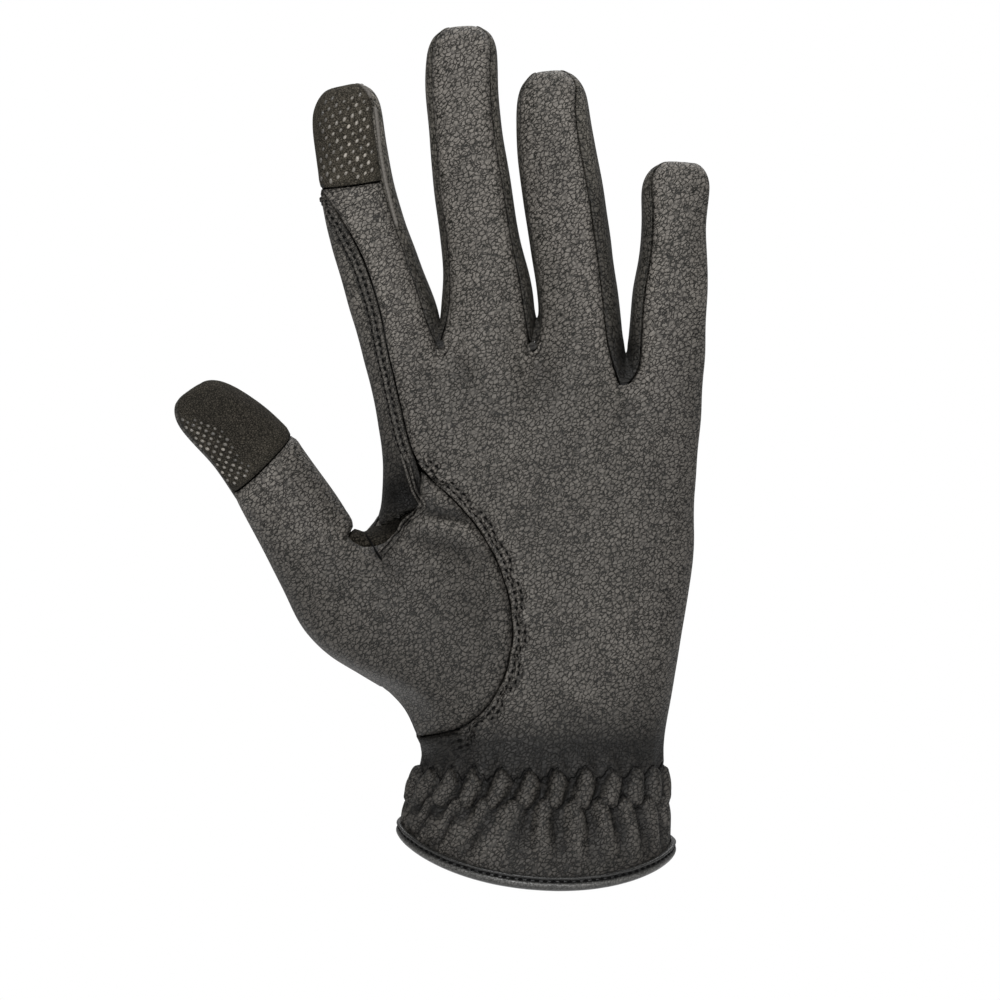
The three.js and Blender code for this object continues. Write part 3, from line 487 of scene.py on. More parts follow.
def bell(distance: np.ndarray | float, width: float) -> np.ndarray | float:
    """A bell curve: 1 at distance 0, falling off over the given width."""
    return np.exp(-((distance / width) ** 2))


def ahead(line: list[Vector], index: int) -> Vector:
    """The way that a line runs at one of its points, not normalised."""
    return line[min(index + 1, len(line) - 1)] - line[max(index - 1, 0)]


class Hollow:
    """The glove's hollow, found with rays through its CAD solids."""

    def __init__(self, clearance: float = 0.3 * MM) -> None:
        """Gathers the solids' faces.

        Args:
            clearance: how far in front of a face its ray starts.
        """
        self.clearance = clearance
        points: list[Vector] = []
        faces: list[tuple[int, ...]] = []
        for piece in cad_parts.values():
            start = len(points)
            points += [vertex.co.copy() for vertex in piece.data.vertices]
            faces += [tuple(start + corner for corner in face.vertices) for face in piece.data.polygons]
        self.tree = BVHTree.FromPolygons(points, faces)

    def faced_by(self, face: bmesh.types.BMFace) -> bool:
        """Whether a face looks into the hollow: leather lies in front of it and behind it."""
        spot = face.calc_center_median() + face.normal * self.clearance
        return all(self.tree.ray_cast(spot, Vector((0, way, 0)))[0] is not None for way in (-1, 1))


# Panels


def regions(mesh: bmesh.types.BMesh, sharp: set[int]) -> list[list[bmesh.types.BMFace]]:
    """Groups a mesh's faces into regions.

    Args:
        mesh: the mesh.
        sharp: the numbers of the edges that part the regions.

    Returns:
        The faces of each region.
    """
    groups = []
    seen = set()
    for start in mesh.faces:
        if start.index in seen:
            continue
        seen.add(start.index)
        group = [start]
        for face in group:
            for edge in face.edges:
                if edge.index in sharp:
                    continue
                for other in edge.link_faces:
                    if other.index not in seen:
                        seen.add(other.index)
                        group.append(other)
        groups.append(group)
    return groups


@dataclass
class Panel:
    """A leather panel: a refined copy of its CAD solid, worked on its outer side.

    Attributes:
        node: the CAD node that it stands for.
        levels: how many times the mesh is divided.
        finer_outside: whether the outer side is divided once more.
        corner_angle: the least angle of an edge that parts the sides.
        rim_crease: how sharp those edges stay.
        strip_width: the most width of a region that counts as the rim.
        weld: how close two points lie that are one.
        square: the largest angles at which two triangles become one face.
        shading_angle: the least angle of an edge that looks sharp.
    """

    node: str
    slot: Slot
    material: Material
    levels: int = 3
    finer_outside: bool = False
    corner_angle: float = math.radians(48)
    rim_crease: float = 0.9
    strip_width: float = 1.6 * MM
    weld: float = 0.01 * MM
    square: float = math.radians(60)
    shading_angle: float = math.radians(50)
    piece: bpy.types.Object = field(init=False)
    outer_faces: list[tuple[int, ...]] = field(init=False)
    outer: np.ndarray = field(init=False)
    rim: np.ndarray = field(init=False)
    shade: np.ndarray = field(init=False)

    def build(self, hollow: Hollow) -> None:
        """Makes the panel's mesh.

        Args:
            hollow: the glove's hollow, which the panel's inner side faces.
        """
        self.piece = bpy.data.objects.new(self.node + "_skin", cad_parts[self.node].data.copy())
        bpy.context.scene.collection.objects.link(self.piece)
        with editing(self.piece):
            bpy.ops.mesh.remove_doubles(threshold=self.weld)
            bpy.ops.mesh.tris_convert_to_quads(face_threshold=self.square, shape_threshold=self.square)
        self.sort_sides(hollow)
        apply(self.piece, "SUBSURF", levels=self.levels, render_levels=self.levels)
        if self.finer_outside:
            self.refine_outside()
        self.measure()

    def side_of(self, group: list[bmesh.types.BMFace], hollow: Hollow) -> Side:
        """Finds out which side of the wall a region is.

        Args:
            group: the region's faces.
            hollow: the glove's hollow.

        Returns:
            The side.
        """
        own = {face.index for face in group}
        outline = sum(
            edge.calc_length()
            for face in group
            for edge in face.edges
            if any(other.index not in own for other in edge.link_faces)
        )
        area = sum(face.calc_area() for face in group)
        if 2 * area < self.strip_width * outline:
            return Side.RIM
        inner = sum(face.calc_area() for face in group if hollow.faced_by(face))
        return Side.INNER if inner > area / 2 else Side.OUTER

    def sort_sides(self, hollow: Hollow) -> None:
        """Sorts the faces into outer, inner and rim ones, and creases the edges between them.

        Args:
            hollow: the glove's hollow.
        """
        mesh = bmesh.new()
        mesh.from_mesh(self.piece.data)
        mesh.faces.ensure_lookup_table()
        layers = mesh.edges.layers.float
        crease = layers.get("crease_edge") or layers.new("crease_edge")
        sharp = {
            edge.index
            for edge in mesh.edges
            if len(edge.link_faces) == 2 and edge.calc_face_angle() > self.corner_angle
        }
        for group in regions(mesh, sharp):
            side = self.side_of(group, hollow)
            for face in group:
                face.material_index = side.value
        for edge in mesh.edges:
            kinds = {face.material_index for face in edge.link_faces}
            if len(kinds) > 1 or (edge.index in sharp and kinds == {Side.RIM.value}):
                edge[crease] = self.rim_crease
        self.piece.data.materials.clear()
        for _ in Side:
            self.piece.data.materials.append(self.material)
        mesh.to_mesh(self.piece.data)
        mesh.free()

    def refine_outside(self) -> None:
        """Divides the outer faces once more, because only they are seen close to."""
        only(self.piece)
        bpy.ops.object.mode_set(mode="EDIT")
        bpy.ops.mesh.select_mode(type="FACE")
        bpy.ops.mesh.select_all(action="DESELECT")
        bpy.ops.object.mode_set(mode="OBJECT")
        for face in self.piece.data.polygons:
            face.select = face.material_index == Side.OUTER.value
        bpy.ops.object.mode_set(mode="EDIT")
        bpy.ops.mesh.subdivide(number_cuts=1, smoothness=1.0)
        bpy.ops.object.mode_set(mode="OBJECT")

    def measure(self) -> None:
        """Notes the outer faces, their vertices and the ones on the rim."""
        faces = self.piece.data.polygons
        self.outer_faces = [tuple(f.vertices) for f in faces if f.material_index == Side.OUTER.value]
        others = {v for f in faces if f.material_index != Side.OUTER.value for v in f.vertices}
        inside = {v for face in self.outer_faces for v in face}
        self.outer = np.array(sorted(inside))
        self.rim = np.array(sorted(inside & others))
        self.shade = np.ones(len(self.piece.data.vertices))

    def rim_points(self) -> np.ndarray:
        """The points of the outer side's rim, one a row."""
        return coordinates(self.piece.data)[self.rim]

    def work(self, relief: Relief, tone: float = 1.3 * MM) -> None:
        """Moves the wall in or out along the outer side's normals, and paints shade where it moves in and
        light where it moves out.

        Args:
            relief: gives the move for places, normals and distances from the seams.
            tone: how deep a furrow is whose painted shade darkens the leather by about two thirds.
        """
        points = coordinates(self.piece.data)
        outer, out = points[self.outer], coordinates(self.piece.data, "normal")[self.outer]
        seams = tree_of(self.rim_points())
        moves = relief(outer, out, np.array([seams.find(point)[2] for point in outer]))
        # Painted shade in the furrows and painted light on the raised places
        self.shade[self.outer] *= np.clip(np.exp(moves / tone), *SHADE_LIMITS)
        shift = out * moves[:, None]
        tree = tree_of(outer)
        inner = np.setdiff1d(np.arange(len(points)), self.outer)
        follow = np.array([tree.find(point)[1] for point in points[inner]])
        points[inner] += shift[follow]
        points[self.outer] = outer + shift
        place(self.piece.data, points)

    def darken(self, shadow: "Shadow | HeightShade") -> None:
        """Paints light and shade into the leather's tone: shadows where the light hardly reaches, pools of
        light where a shadow's strength is negative, and light and shade by height.
        """
        self.shade *= shadow(coordinates(self.piece.data))

    def surface(self) -> BVHTree:
        """The outer side as a tree for laying pieces on."""
        return BVHTree.FromPolygons(coordinates(self.piece.data).tolist(), self.outer_faces)

    def open_edges(self) -> list[tuple[int, int]]:
        """The edges that bound the outer side."""
        sides = Counter(
            (min(a, b), max(a, b)) for face in self.outer_faces for a, b in zip(face, face[1:] + face[:1])
        )
        return [pair for pair, count in sides.items() if count == 1]

    def edge_beside(self, others: list["Panel"], near: Vector, reach: float) -> np.ndarray:
        """The stretch of the outer edge that is sewn to other panels.

        Args:
            others: the panels on the seam's other side.
            near: a place close to the stretch that is wanted.
            reach: how far apart the two edges may lie.

        Returns:
            The edge's points in order, one a row.
        """
        tree = tree_of([point for other in others for point in other.rim_points()])
        points = coordinates(self.piece.data)
        shared = {v for v in self.rim.tolist() if tree.find(points[v])[2] < reach}
        links: dict[int, list[int]] = {v: [] for v in shared}
        for a, b in self.open_edges():
            if a in shared and b in shared:
                links[a].append(b)
                links[b].append(a)
        start = min(shared, key=lambda v: (Vector(points[v]) - near).length)
        chain = [start]
        for first in links[start][:2]:
            before, here = start, first
            branch = []
            while here is not None and here not in chain and here not in branch:
                branch.append(here)
                following = [v for v in links[here] if v != before]
                before, here = here, following[0] if following else None
            chain = branch[::-1] + chain if first == links[start][0] else chain + branch
        return points[chain]

    def outer_normals(self) -> dict[int, Vector]:
        """The outer faces' normals summed at each outer vertex, by area."""
        points = [Vector(point) for point in coordinates(self.piece.data)]
        total: dict[int, Vector] = {}
        for face in self.outer_faces:
            across = (points[face[2]] - points[face[0]]).cross(points[face[-1]] - points[face[1]])
            for corner in face:
                total[corner] = total.get(corner, Vector()) + across
        return total

    def rim_loops(self) -> list[list[int]]:
        """The closed loops of vertices that bound the outer side."""
        links: dict[int, list[int]] = {}
        for a, b in self.open_edges():
            links.setdefault(a, []).append(b)
            links.setdefault(b, []).append(a)
        loops = []
        while links:
            here = next(iter(links))
            loop = [here]
            while links.get(here):
                following = links[here].pop()
                links[following].remove(here)
                loop.append(following)
                here = following
            links = {key: value for key, value in links.items() if value}
            if len(loop) > 3:
                loops.append(loop)
        return loops

    def top_edge(self, sectors: int = 90) -> np.ndarray:
        """The upper edge of a panel that runs round the vertical axis.

        Args:
            sectors: in how many sectors the upper and the lower rim are told apart.

        Returns:
            The edge's points in order round the axis, one a row.
        """
        rims = self.rim_points()
        angle = np.arctan2(rims[:, 0], -rims[:, 1])
        order = np.argsort(angle)
        rims, angle = rims[order], angle[order]
        sector = ((angle + math.pi) / (2 * math.pi) * sectors).astype(int)
        middle = {k: rims[sector == k, 2].mean() for k in set(sector.tolist())}
        return rims[np.array([point[2] > middle[k] for point, k in zip(rims, sector.tolist())])]

    def work_below_top(self, profile: "HemShape") -> None:
        """Moves the outer side of such a panel by a profile below its top edge, and paints light and shade
        on it.

        Args:
            profile: gives the move and the painted light and shade at each distance below the edge.
        """
        points = coordinates(self.piece.data)
        out = coordinates(self.piece.data, "normal")[self.outer]
        tree = tree_of(self.top_edge())
        outer = points[self.outer]
        far = np.array([tree.find(point)[2] for point in outer])
        moves = profile.relief(far)
        self.shade[self.outer] *= profile.tone(far, moves)
        points[self.outer] = outer + out * moves[:, None]
        place(self.piece.data, points)

    def finish(self) -> None:
        """Stores the painted light and shade, smooths the shading, leaves one material and ties the panel to
        the frame.
        """
        faces = self.piece.data.polygons
        faces.foreach_set("material_index", [0] * len(faces))
        set_shade(self.piece.data, self.shade)
        only(self.piece)
        bpy.ops.object.shade_smooth_by_angle(angle=self.shading_angle)
        dress(self.piece, self.material, self.slot)
        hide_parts(self.node)


# Relief worked into the panels


def ripple(points: np.ndarray, size: float, seed: float) -> np.ndarray:
    """Smooth noise from -1 to 1.

    Args:
        points: places, one a row.
        size: the size of its waves.
        seed: which noise.

    Returns:
        The noise at each place.
    """
    offset = Vector((seed, 0, 0))
    return np.array([noise.noise(Vector(point) / size + offset) for point in points])


@dataclass(frozen=True)
class Line:
    """A straight line between two places seen from the palm, in mm."""

    start: Place
    end: Place

    def measure(self, points: np.ndarray) -> tuple[np.ndarray, np.ndarray]:
        """How far each point lies from the line, in metres, and how far along it, from 0 to 1."""
        start = np.array(self.start) * MM
        along = np.array(self.end) * MM - start
        flat = points[:, [0, 2]] - start
        share = np.clip(flat @ along / (along @ along), 0, 1)
        return np.linalg.norm(flat - share[:, None] * along, axis=1), share


@dataclass(frozen=True)
class Crease(Line):
    """A soft furrow of the palm side or, with a negative depth, a soft ridge; its sizes are in mm."""

    depth: float
    width: float
    end_fade: float = 0.7
    wrap: float = 3.0

    def __call__(self, points: np.ndarray, facing: np.ndarray) -> np.ndarray:
        """The crease's relief, in metres.

        Args:
            points: places, one a row.
            facing: the normals there.

        Returns:
            The relief.
        """
        far, share = self.measure(points)
        fade = 1 - self.end_fade * (2 * share - 1) ** 2
        seen = smooth_step(-self.wrap * facing[:, 1])
        return -self.depth * MM * bell(far, self.width * MM) * fade * seen


@dataclass(frozen=True)
class Shadow(Line):
    """A dark area or, with a negative strength, a light one, round a line; its width is in mm."""

    width: float
    strength: float

    def __call__(self, points: np.ndarray) -> np.ndarray:
        """The factor by which each place is darkened."""
        return 1 - self.strength * bell(self.measure(points)[0], self.width * MM)


@dataclass(frozen=True)
class HeightShade:
    """Painted light and shade that change up the glove, as pairs of a height in mm and a factor."""

    steps: tuple[Place, ...]

    def __call__(self, points: np.ndarray) -> np.ndarray:
        """The factor at each place."""
        heights, factors = zip(*self.steps)
        return np.interp(points[:, 2], np.array(heights) * MM, factors)


@dataclass(frozen=True)
class Wear:
    """The relief of wear: leather drawn down along its seams, padded beside them, creased and uneven;
    Panel.work paints shade into what it draws in.

    The sizes are in mm.
    """

    drawn: float = 0.35
    reach: float = 1.6
    puff: float = 0.22
    puff_width: float = 2.4
    uneven: float = 0.22
    wave: float = 11.0
    seed: float = 3.0
    creases: tuple[Crease, ...] = ()

    def __call__(self, points: np.ndarray, facing: np.ndarray, far: np.ndarray) -> np.ndarray:
        """The wear's relief, in metres.

        Args:
            points: places, one a row.
            facing: the normals there.
            far: how far each place lies from a seam.

        Returns:
            The relief.
        """
        relief = -self.drawn * MM * (1 - smooth_step(far / (self.reach * MM)))
        relief += self.puff * MM * bell(far - self.puff_width * MM, self.puff_width * MM)
        free = smooth_step(far / FREE_OF_SEAM)
        relief += free * self.uneven * MM * ripple(points, self.wave * MM, self.seed)
        for crease in self.creases:
            relief += free * crease(points, facing)
        return relief


@dataclass(frozen=True)
class Shirring:
    """The gathered wrist: two rows of zigzag stitching with padded pleats between and below them.

    Attributes:
        upper_swing: how far the upper row goes up and down.
        lower_swing: how far the lower row does.
        foot: the height at which the pleats end.
        lean: how many pleats a pleat leans over between the rows.
        thread_swing: how far the thread goes up and down within a pleat.
        stitches: how often it does.
        steps: in how many steps the wrist's outline is measured.
        wander: how far the pleats stray sideways, in pleats, and the size and seed of that noise.
        stray: how far the rows stray in height, and the size and seed of that noise.
        rise: how much the pleats rise.
        band: the exponent of the pleats between the rows, and the share of them that lies sunk.
        skirt: the same for the pleats below the rows.
        skirt_fade: the exponent with which those fade towards the foot.
        fan: where the pleats below start to fan out, how fast, over what height and between what limits.
        meet: the height over which the parts meet.
        over: the rise, the sunk share, the start and the height of the pleats above the rows.
        furrow: the depth and the width of the furrows under the threads.
    """

    middle: float = 1.5 * MM
    half_width: float = 31.5 * MM
    half_depth: float = 21.8 * MM
    pleats: int = 24
    upper: float = 18.4 * MM
    lower: float = 10.9 * MM
    upper_swing: float = 1.5 * MM
    lower_swing: float = 1.4 * MM
    foot: float = -6.0 * MM
    lean: float = 0.38
    thread_swing: float = 0.45 * MM
    stitches: float = 4.0
    steps: int = 720
    wander: tuple[float, float, float] = (0.16, 7 * MM, 8.0)
    stray: tuple[float, float, float] = (0.9 * MM, 5 * MM, 21.0)
    rise: float = 1.9 * MM
    band: Place = (1.5, 0.4)
    skirt: Place = (1.9, 0.36)
    skirt_fade: float = 0.8
    fan: tuple[float, float, float, float, float] = (0.4, 0.15, 6.85 / 1.2 * MM, -0.12, 0.8)
    meet: float = 1.2 * MM
    over: tuple[float, float, float, float] = (0.45 * MM, 0.6, 0.4 * MM, 7 * MM)
    furrow: Place = (0.8 * MM, 0.65 * MM)

    def turn(self, points: np.ndarray) -> np.ndarray:
        """Where each place lies round the wrist, in pleats from the middle of the palm side.

        Args:
            points: places, one a row.

        Returns:
            The turn of each place; whole numbers are creases of the upper pleats.
        """
        angles = np.linspace(-math.pi, math.pi, self.steps + 1)
        stretch = np.hypot(self.half_width * np.cos(angles), self.half_depth * np.sin(angles))
        length = np.concatenate([[0], np.cumsum((stretch[1:] + stretch[:-1]) / 2)])
        turns = (length / length[-1] - 0.5) * self.pleats
        across = (points[:, 0] - self.middle) / self.half_width
        through = -points[:, 1] / self.half_depth
        return np.interp(np.arctan2(across, through), angles, turns)

    def upper_row(self, turn: np.ndarray) -> np.ndarray:
        """The height of the upper zigzag row at a turn."""
        return self.upper - self.upper_swing * np.cos(2 * math.pi * turn)

    def lower_row(self, turn: np.ndarray) -> np.ndarray:
        """The height of the lower zigzag row at a turn."""
        return self.lower + self.lower_swing * np.cos(2 * math.pi * turn)

    def past(self, height: np.ndarray) -> np.ndarray:
        """Eases from 0 below a height of nothing to 1 above it."""
        return smooth_step((height + self.meet / 2) / self.meet)

    def __call__(self, points: np.ndarray, facing: np.ndarray, far: np.ndarray) -> np.ndarray:
        """The shirring's relief, in metres.

        Args:
            points: places, one a row.
            facing: not used.
            far: how far each place lies from a seam.

        Returns:
            The relief.
        """
        sideways, *wave = self.wander
        turn = self.turn(points) + sideways * ripple(points, *wave)
        upwards, *wave = self.stray
        height = points[:, 2] + upwards * ripple(points, *wave)
        top, bottom = self.upper_row(turn), self.lower_row(turn)
        band = turn - self.lean * (height - (self.upper + self.lower) / 2) / (self.upper - self.lower)
        power, sunk = self.band
        pleats = self.past(top - height) * self.past(height - bottom)
        pleats = pleats * (np.abs(np.sin(math.pi * band)) ** power - sunk)
        begin, rate, reach, least, most = self.fan
        drift = np.clip(rate * (begin - turn), least, most)
        below = turn - 0.5 + drift * np.clip(bottom - height, 0, None) / reach
        fade = smooth_step((height - self.foot) / (bottom - self.foot)) ** self.skirt_fade
        power, sunk = self.skirt
        fade = fade * (1 - self.past(height - bottom))
        pleats = pleats + fade * (np.abs(np.sin(math.pi * below)) ** power - sunk)
        rise, sunk, early, reach = self.over
        above = smooth_step((height - top + early) / self.meet) * (1 - smooth_step((height - top) / reach))
        depth, width = self.furrow
        relief = self.rise * pleats + rise * above * (np.abs(np.sin(math.pi * turn)) - sunk)
        relief -= depth * (bell(height - top, width) + bell(height - bottom, width))
        return relief * smooth_step(far / FREE_OF_SEAM)

    def thread(self, row: Callable[[np.ndarray], np.ndarray], count: int = 1440) -> np.ndarray:
        """A zigzag line round the wrist, before it is laid on the leather.

        Args:
            row: the height of the row at a turn.
            count: how many points it has.

        Returns:
            The line's points, one a row.
        """
        angle = np.linspace(-math.pi, math.pi, count, endpoint=False)
        across = self.middle + self.half_width * np.sin(angle)
        flat = np.stack([across, -self.half_depth * np.cos(angle), 0 * angle], axis=1)
        turn = self.turn(flat)
        flat[:, 2] = row(turn)
        upwards, *wave = self.stray
        flat[:, 2] -= upwards * ripple(flat, *wave)
        flat[:, 2] += self.thread_swing * np.sin(2 * math.pi * turn * self.stitches)
        return flat


@dataclass(frozen=True)
class HemShape:
    """The binding's profile: a fine cord along its top, a stitched groove and a full roll below.

    Attributes:
        cord: its distance below the top edge, its rise and its width, in mm.
        groove: the same for the groove.
        roll: the same for the roll.
        furrow: how deep a furrow is whose painted shade darkens the leather by about two thirds.
        limits: the darkest painted shade and the lightest painted light that the relief gives.
        light_and_shade: pairs of a distance below the edge, in mm, and a factor of painted light and shade:
            a painted highlight on the roll and painted shade at its foot.
    """

    cord: tuple[float, float, float] = (0.45, 0.25, 0.28)
    groove: tuple[float, float, float] = (1.25, -0.55, 0.42)
    roll: tuple[float, float, float] = (2.7, 0.25, 0.9)
    furrow: float = 0.3 * MM
    limits: Place = (0.12, 1.7)
    light_and_shade: tuple[Place, ...] = ((1.5, 0.4), (2.0, 1.8), (2.7, 0.8), (3.7, 0.1))

    def relief(self, far: np.ndarray) -> np.ndarray:
        """The relief at distances below the top edge, in metres."""
        return sum(
            rise * MM * bell(far - middle * MM, width * MM)
            for middle, rise, width in (self.cord, self.groove, self.roll)
        )

    def tone(self, far: np.ndarray, moves: np.ndarray) -> np.ndarray:
        """The leather's painted light and shade at distances below the top edge and the relief there."""
        places, factors = zip(*self.light_and_shade)
        shade = np.clip(np.exp(moves / self.furrow), *self.limits)
        return shade * np.interp(far, np.array(places) * MM, factors)


# Pieces sewn on the panels


class Collector:
    """Gathers points and faces of many small shapes into one piece."""

    def __init__(self) -> None:
        """Starts empty."""
        self.points: list[Vector] = []
        self.faces: list[tuple[int, ...]] = []
        self.shades: list[float] = []

    def add(self, points: list[Vector], faces: list[tuple[int, ...]], shades: list[float]) -> None:
        """Adds a shape to the piece.

        Args:
            points: the shape's points.
            faces: its faces, which count from its own first point.
            shades: the factor of the leather's colour at each point.
        """
        start = len(self.points)
        self.points += points
        self.shades += shades
        self.faces += [tuple(start + corner for corner in face) for face in faces]

    def loft(self, points: list[Vector], ring: int, shades: list[float]) -> None:
        """Adds a closed shape that runs through rings of points.

        Args:
            points: the points, ring after ring.
            ring: how many points a ring has.
            shades: the factor of the leather's colour at each point.
        """
        last = len(points) - ring
        faces = []
        for low in range(0, last, ring):
            high = low + ring
            for corner in range(ring):
                following = (corner + 1) % ring
                faces.append((low + corner, low + following, high + following, high + corner))
        faces.append(tuple(reversed(range(ring))))
        faces.append(tuple(range(last, len(points))))
        self.add(points, faces, shades)

    def tube(
        self, line: list[Vector], radii: list[float], up: list[Vector], sides: int = 6, foot: float = 1.0
    ) -> None:
        """Adds a closed tube along a line.

        Args:
            line: the line's points.
            radii: the tube's radius at each of them.
            up: a direction across the line at each of them.
            sides: how many sides the tube has.
            foot: the painted shade at the tube's sides, where it meets the leather.
        """
        angles = [2 * math.pi * corner / sides for corner in range(sides)]
        points = []
        for count, (spot, radius, high) in enumerate(zip(line, radii, up)):
            onward = ahead(line, count)
            side = onward.cross(high).normalized()
            top = side.cross(onward).normalized()
            points += [spot + radius * (math.cos(turn) * side + math.sin(turn) * top) for turn in angles]
        # Painted shade on the tube's sides and underside, its full colour on top
        shades = [foot + (1 - foot) * max(0.0, math.sin(turn)) for turn in angles]
        self.loft(points, sides, shades * len(line))

    def stitch(self, middle: Vector, along: Vector, up: Vector, length: float, radius: float) -> None:
        """Adds one stitch: a short rounded length of thread whose ends dip into the leather.

        Args:
            middle: the stitch's middle.
            along: the direction it runs in.
            up: the direction away from the leather.
            length: its length.
            radius: its radius at the middle.
        """
        line = [
            middle + along * length * share - up * radius * STITCH_DIP * (2 * share) ** 2
            for share, _ in STITCH_SHAPE
        ]
        self.tube(line, [radius * factor for _, factor in STITCH_SHAPE], [up] * len(line))

    def piece(self, name: str, material: Material, slot: Slot) -> None:
        """Makes the gathered shapes one dressed object.

        Args:
            name: the object's name.
            material: its material.
            slot: the record's slot.
        """
        mesh = bpy.data.meshes.new(name)
        mesh.from_pydata([tuple(point) for point in self.points], [], self.faces)
        mesh.update()
        piece = bpy.data.objects.new(name, mesh)
        bpy.context.scene.collection.objects.link(piece)
        with editing(piece):
            bpy.ops.mesh.normals_make_consistent(inside=False)
        bpy.ops.object.shade_smooth_by_angle(angle=SMALL_PIECE_ANGLE)
        set_shade(mesh, np.array(self.shades))
        dress(piece, material, slot)
        log.info("%s: %d faces", name, len(mesh.polygons))


def evenly(points: np.ndarray, step: float, soften: int = 3) -> list[Vector]:
    """A line's points at even steps, slightly smoothed.

    Args:
        points: the line's points, one a row.
        step: the wanted distance between two points.
        soften: how many times the line is smoothed.

    Returns:
        The new points.
    """
    line = points.copy()
    for _ in range(soften):
        line[1:-1] = (line[:-2] + 2 * line[1:-1] + line[2:]) / 4
    lengths = np.concatenate([[0], np.cumsum(np.linalg.norm(np.diff(line, axis=0), axis=1))])
    count = max(2, int(lengths[-1] / step) + 1)
    places = np.linspace(0, lengths[-1], count)
    return [Vector([np.interp(at, lengths, line[:, axis]) for axis in range(3)]) for at in places]


@dataclass
class Strip:
    """A line along a panel's edge with the directions that are needed to lay pieces beside it."""

    line: list[Vector]
    surface: BVHTree
    probe: float = 2 * MM
    along: list[Vector] = field(init=False)
    inward: list[Vector] = field(init=False)

    def __post_init__(self) -> None:
        """Works out the directions along the line and into the panel."""
        self.along = [ahead(self.line, index).normalized() for index in range(len(self.line))]
        sides = []
        vote = 0.0
        for spot, onward in zip(self.line, self.along):
            side = self.surface.find_nearest(spot)[1].cross(onward).normalized()
            there = self.surface.find_nearest(spot + side * self.probe)[3]
            behind = self.surface.find_nearest(spot - side * self.probe)[3]
            vote += behind - there
            sides.append(side)
        sign = 1 if vote > 0 else -1
        self.inward = [side * sign for side in sides]

    def spot(self, index: int, offset: float, lift: float) -> tuple[Vector, Vector]:
        """A place beside the line, on the panel.

        Args:
            index: which point of the line.
            offset: how far into the panel.
            lift: how far above the leather.

        Returns:
            The place and the leather's normal there.
        """
        aim = self.line[index] + self.inward[index] * offset
        hit, out = self.surface.find_nearest(aim)[:2]
        if offset <= 0:
            beyond = aim - hit
            hit = hit + (beyond - out * beyond.dot(out))
        return hit + out * lift, out


